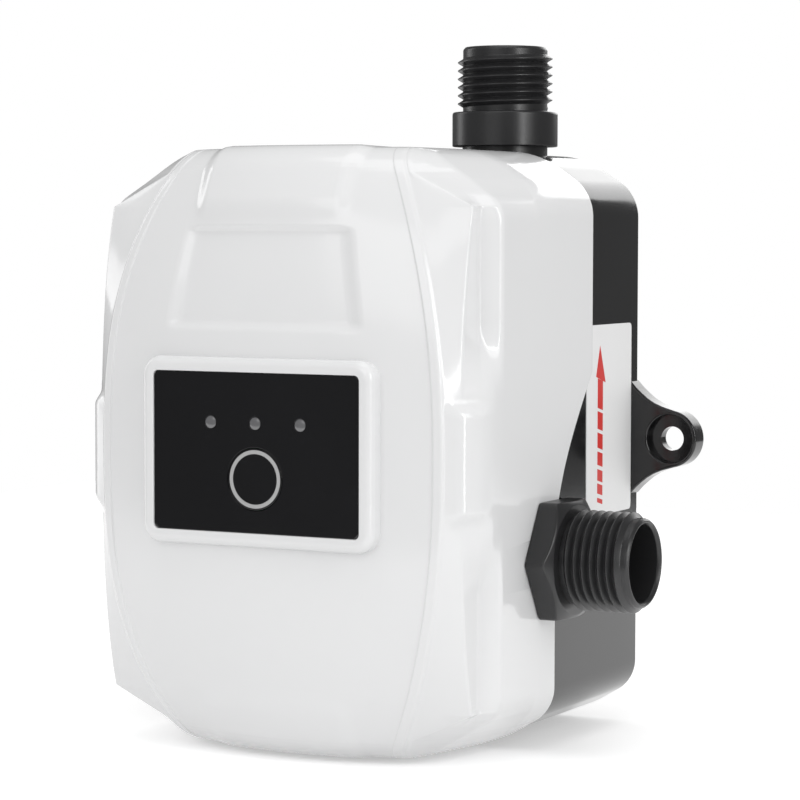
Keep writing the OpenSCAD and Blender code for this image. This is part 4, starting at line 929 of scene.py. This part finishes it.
# %% Key, its ring and the three lenses
KEY_R, KEY_T, STEM_R, STEM_L = 6.3, 0.9, 1.8, 3.55
RING_IN, RING_OUT, RING_T, GAP = 5.15, 5.95, 0.12, 0.03
bm = bmesh.new()
spot = along(0, LABEL_Y, KEY_Z, "front")
lathe(bm, [((0, 0), 0), ((RING_IN - GAP, 0), 0.03), ((RING_IN - GAP, -RING_T), 0),
           ((RING_OUT + GAP, -RING_T), 0), ((RING_OUT + GAP, 0), 0.03), ((KEY_R, 0), 0.12),
           ((KEY_R, -KEY_T), 0.1), ((STEM_R, -KEY_T), 0), ((STEM_R, -STEM_L), 0), ((0, -STEM_L), 0)], spot)
piece("key_disc", bm, "label_black", body="button", stands_for=["mode_button"])
bm = bmesh.new()
lathe(bm, [((RING_IN, 0.01 - RING_T), 0), ((RING_OUT, 0.01 - RING_T), 0), ((RING_OUT, 0.0), 0.04),
           ((RING_IN, 0.0), 0.04)], spot)
piece("key_ring", bm, "ring_grey", body="button", stands_for=["button_ring"])
for k, side in ((-1, "left"), (0, "middle"), (1, "right")):
    bm = bmesh.new()
    lathe(bm, [((0, 0.05), 0), ((0.75, 0.02), 0), ((1.28, -0.1), 0.1), ((1.28, -0.7), 0), ((0, -0.7), 0)],
          along(k * LENS_STEP, LABEL_Y, LENS_Z, "front"), 48)
    piece("lens_" + side, bm, "lens_grey", stands_for=["status_lens_" + side])

# %% [markdown]
# ## The label on the casing
#
# A white vinyl label with rounded corners sits on the right side of the casing. The red arrow
# on it shows the way of the water and is made of a head and slanted dashes that get shorter.

# %% Vinyl
STICKER_X, FRONT_Y, BACK_Y, LOW_Z, HIGH_Z = 46.15, -28.6, -4.7, -15.7, 25.45
STICKER_R, STICKER_T, INK_T = 1.2, 0.15, 0.03
corners = [(BACK_Y, HIGH_Z), (BACK_Y, LOW_Z), (FRONT_Y, LOW_Z)]
round_part = rounded([((-16, HIGH_Z), 0)] + [(corner, STICKER_R) for corner in corners]
                     + [((FRONT_Y, 0), 0)])
shell_side = [(max(FRONT_Y, parting(z) + 0.3), z) for z in [HIGH_Z * k / 40 for k in range(1, 41)]]


def flat_shapes(shapes, thickness):
    """Thin plates on the casing's right side, one for each outline of (y, z) points."""
    bm = bmesh.new()
    for shape in shapes:
        bm.faces.new([bm.verts.new((STICKER_X, y, z)) for y, z in shape])
    thicken(bm, (thickness, 0, 0))
    return bm


bm = flat_shapes([[tuple(p) for p in round_part] + shell_side], -STICKER_T)
bmesh.ops.triangulate(bm, faces=bm.faces[:])
bmesh.ops.recalc_face_normals(bm, faces=bm.faces)
piece("vinyl_label", bm, "sticker_white", stands_for=["flow_sticker"])

# %% Arrow
SLANT, LEFT, RIGHT = 0.65, -22.85, -20.1
HEAD = [(-23.75, 14.3), (-21.7, 21.0), (-18.7, 12.9)]
DASHES = [(13.95, 7.6), (6.9, 3.1), (2.3, -1.0), (-1.8, -4.7), (-5.6, -8.1), (-8.7, -10.9),
          (-11.8, -12.8)]
bm = flat_shapes([HEAD] + [[(LEFT, high), (LEFT, low), (RIGHT, low - SLANT), (RIGHT, high - SLANT)]
                           for high, low in DASHES], INK_T)
bmesh.ops.recalc_face_normals(bm, faces=bm.faces)
piece("arrow_print", bm, "sticker_white", material="arrow_red")

# %% Cord grommet
CORD_R, GROOVE_R, CORD_LIFT = 2.6, 4.1, 1.4
bm = bmesh.new()
lathe(bm, [((CORD_R, -65.2), 0.3), ((5.8, -65.2), 0.5), ((5.8, -63.7), 0.3), ((GROOVE_R, -63.7), 0),
           ((GROOVE_R, -60.6), 0), ((5.4, -60.6), 0.2), ((5.4, -59.6), 0.3), ((CORD_R, -59.6), 0.3)],
      along(CORD_X, CORD_Y, CORD_LIFT, "Z"), 64)
piece("grommet_skin", bm, "seal_rubber", stands_for=["cord_grommet"])

# %% [markdown]
# ## Floor, light and camera
#
# The photograph has a white background and soft, even light. A bright world alone could give
# that, but glossy plastic mirrors all that is round it, and the black pieces would turn grey. So
# the world is white to the camera, weaker as light and weakest in gloss, and three area lamps
# light the pump from above, in front and the right. Three cards light nothing: they are seen
# only in gloss, where they draw the light patches and lines. The floor is small and glows a
# little, so that its border doesn't show and the low pieces have something pale to mirror.

# %% Floor
FLOOR_Y, FLOOR_Z, FLOOR_HALF, SEEN_GLOW, MIRRORED_GLOW = 0.05, -0.0639, 0.4, 0.4, 0.55
bm = bmesh.new()
bmesh.ops.create_grid(bm, x_segments=1, y_segments=1, size=FLOOR_HALF)
mesh = bpy.data.meshes.new("floor")
bm.to_mesh(mesh)
bm.free()
mesh.transform(Matrix.Translation((0, FLOOR_Y, FLOOR_Z)))
floor = bpy.data.objects.new("floor", mesh)
scene.collection.objects.link(floor)
pale = bpy.data.materials.new("pale_floor")
pale.use_nodes = True
tree = pale.node_tree
shader = tree.nodes["Principled BSDF"]
shader.inputs["Base Color"].default_value = (0.9, 0.9, 0.9, 1)
shader.inputs["Roughness"].default_value = 0.8
shader.inputs["Specular IOR Level"].default_value = 0.1
shader.inputs["Emission Color"].default_value = (1, 1, 1, 1)
path = tree.nodes.new("ShaderNodeLightPath")
glow = tree.nodes.new("ShaderNodeMath")
glow.operation = "MULTIPLY"
glow.inputs[1].default_value = SEEN_GLOW
mirrored = tree.nodes.new("ShaderNodeMath")
mirrored.operation = "MULTIPLY_ADD"
mirrored.inputs[1].default_value = MIRRORED_GLOW
tree.links.new(path.outputs["Is Camera Ray"], glow.inputs[0])
tree.links.new(path.outputs["Is Glossy Ray"], mirrored.inputs[0])
tree.links.new(glow.outputs[0], mirrored.inputs[2])
tree.links.new(mirrored.outputs[0], shader.inputs["Emission Strength"])
mesh.materials.append(pale)

# %% World: white to the camera, weaker as light and weakest in gloss
world = bpy.data.worlds.new("studio")
scene.world = world
world.use_nodes = True
tree = world.node_tree
sky = tree.nodes["Background"]
sky.inputs["Color"].default_value = (1, 1, 1, 1)
path = tree.nodes.new("ShaderNodeLightPath")


def choose(low, high, which):
    """A value that is low for most rays and high where the ray is of the kind given."""
    pick = tree.nodes.new("ShaderNodeMapRange")
    tree.links.new(which, pick.inputs["Value"])
    for name, value in (("To Min", low), ("To Max", high)):
        if isinstance(value, float):
            pick.inputs[name].default_value = value
        else:
            tree.links.new(value, pick.inputs[name])
    return pick.outputs["Result"]


seen = tree.nodes.new("ShaderNodeMath")
seen.operation = "MAXIMUM"
tree.links.new(path.outputs["Is Camera Ray"], seen.inputs[0])
tree.links.new(path.outputs["Is Transmission Ray"], seen.inputs[1])
LIT, MIRRORED, SEEN = 0.7, 0.2, 1.0
strength = choose(choose(LIT, MIRRORED, path.outputs["Is Glossy Ray"]), SEEN, seen.outputs[0])
tree.links.new(strength, sky.inputs["Strength"])


# %% Area lamps, and the cards that are seen only in gloss
AIM = Vector((0, -0.04, 0))


def lamp(name, place, width, height, power):
    light = bpy.data.lights.new(name, "AREA")
    light.shape = "RECTANGLE"
    light.size, light.size_y = width, height
    light.energy = power
    obj = bpy.data.objects.new(name, light)
    obj.location = place
    obj.visible_camera = False
    obj.rotation_euler = (AIM - Vector(place)).to_track_quat("-Z", "Y").to_euler()
    scene.collection.objects.link(obj)
    return obj


lamp("overhead_box", (0.1, -0.2, 1.2), 1.0, 0.7, 3.0)
lamp("front_box", (0.0, -1.5, 0.6), 1.0, 0.8, 3.4)
lamp("right_box", (1.3, -0.4, 0.5), 0.6, 0.8, 4.4)
for card in (lamp("left_card", (-1.35, -0.03, 0.25), 0.4, 1.3, 4.0),
             lamp("right_strip", (1.3, -0.62, 0.25), 0.1, 1.2, 5.0),
             lamp("back_card", (-0.05, 1.5, 0.5), 1.1, 0.6, 5.4)):
    card.visible_diffuse = False
print("lamps:", len(bpy.data.lights))

# %% Camera at the photograph's place
AZIMUTH, PITCH_DOWN, ROLL = (math.radians(a) for a in (27.860, 3.474, 0.107))
FOCAL_PX, PICTURE_PX, SENSOR = 2877.33, 800, 36
CAMERA_AT = Vector((297.419, -589.253, 46.740))
look = Vector((-math.sin(AZIMUTH) * math.cos(PITCH_DOWN), math.cos(AZIMUTH) * math.cos(PITCH_DOWN),
               -math.sin(PITCH_DOWN)))
right = Vector((math.cos(AZIMUTH), math.sin(AZIMUTH), 0))
up = right.cross(look)
c, s = math.cos(ROLL), math.sin(ROLL)
right, up = right * c + up * s, up * c - right * s
camera_data = bpy.data.cameras.new("photo_camera")
camera_data.sensor_width = SENSOR
camera_data.lens = FOCAL_PX * SENSOR / PICTURE_PX
camera = bpy.data.objects.new("photo_camera", camera_data)
turn = Matrix((right, up, -look)).transposed().to_4x4()
camera.matrix_world = Matrix.Translation(CAMERA_AT * MM) @ turn
scene.collection.objects.link(camera)
scene.camera = camera
scene.view_settings.view_transform = "Standard"
print("lens:", round(camera_data.lens, 2), "mm")
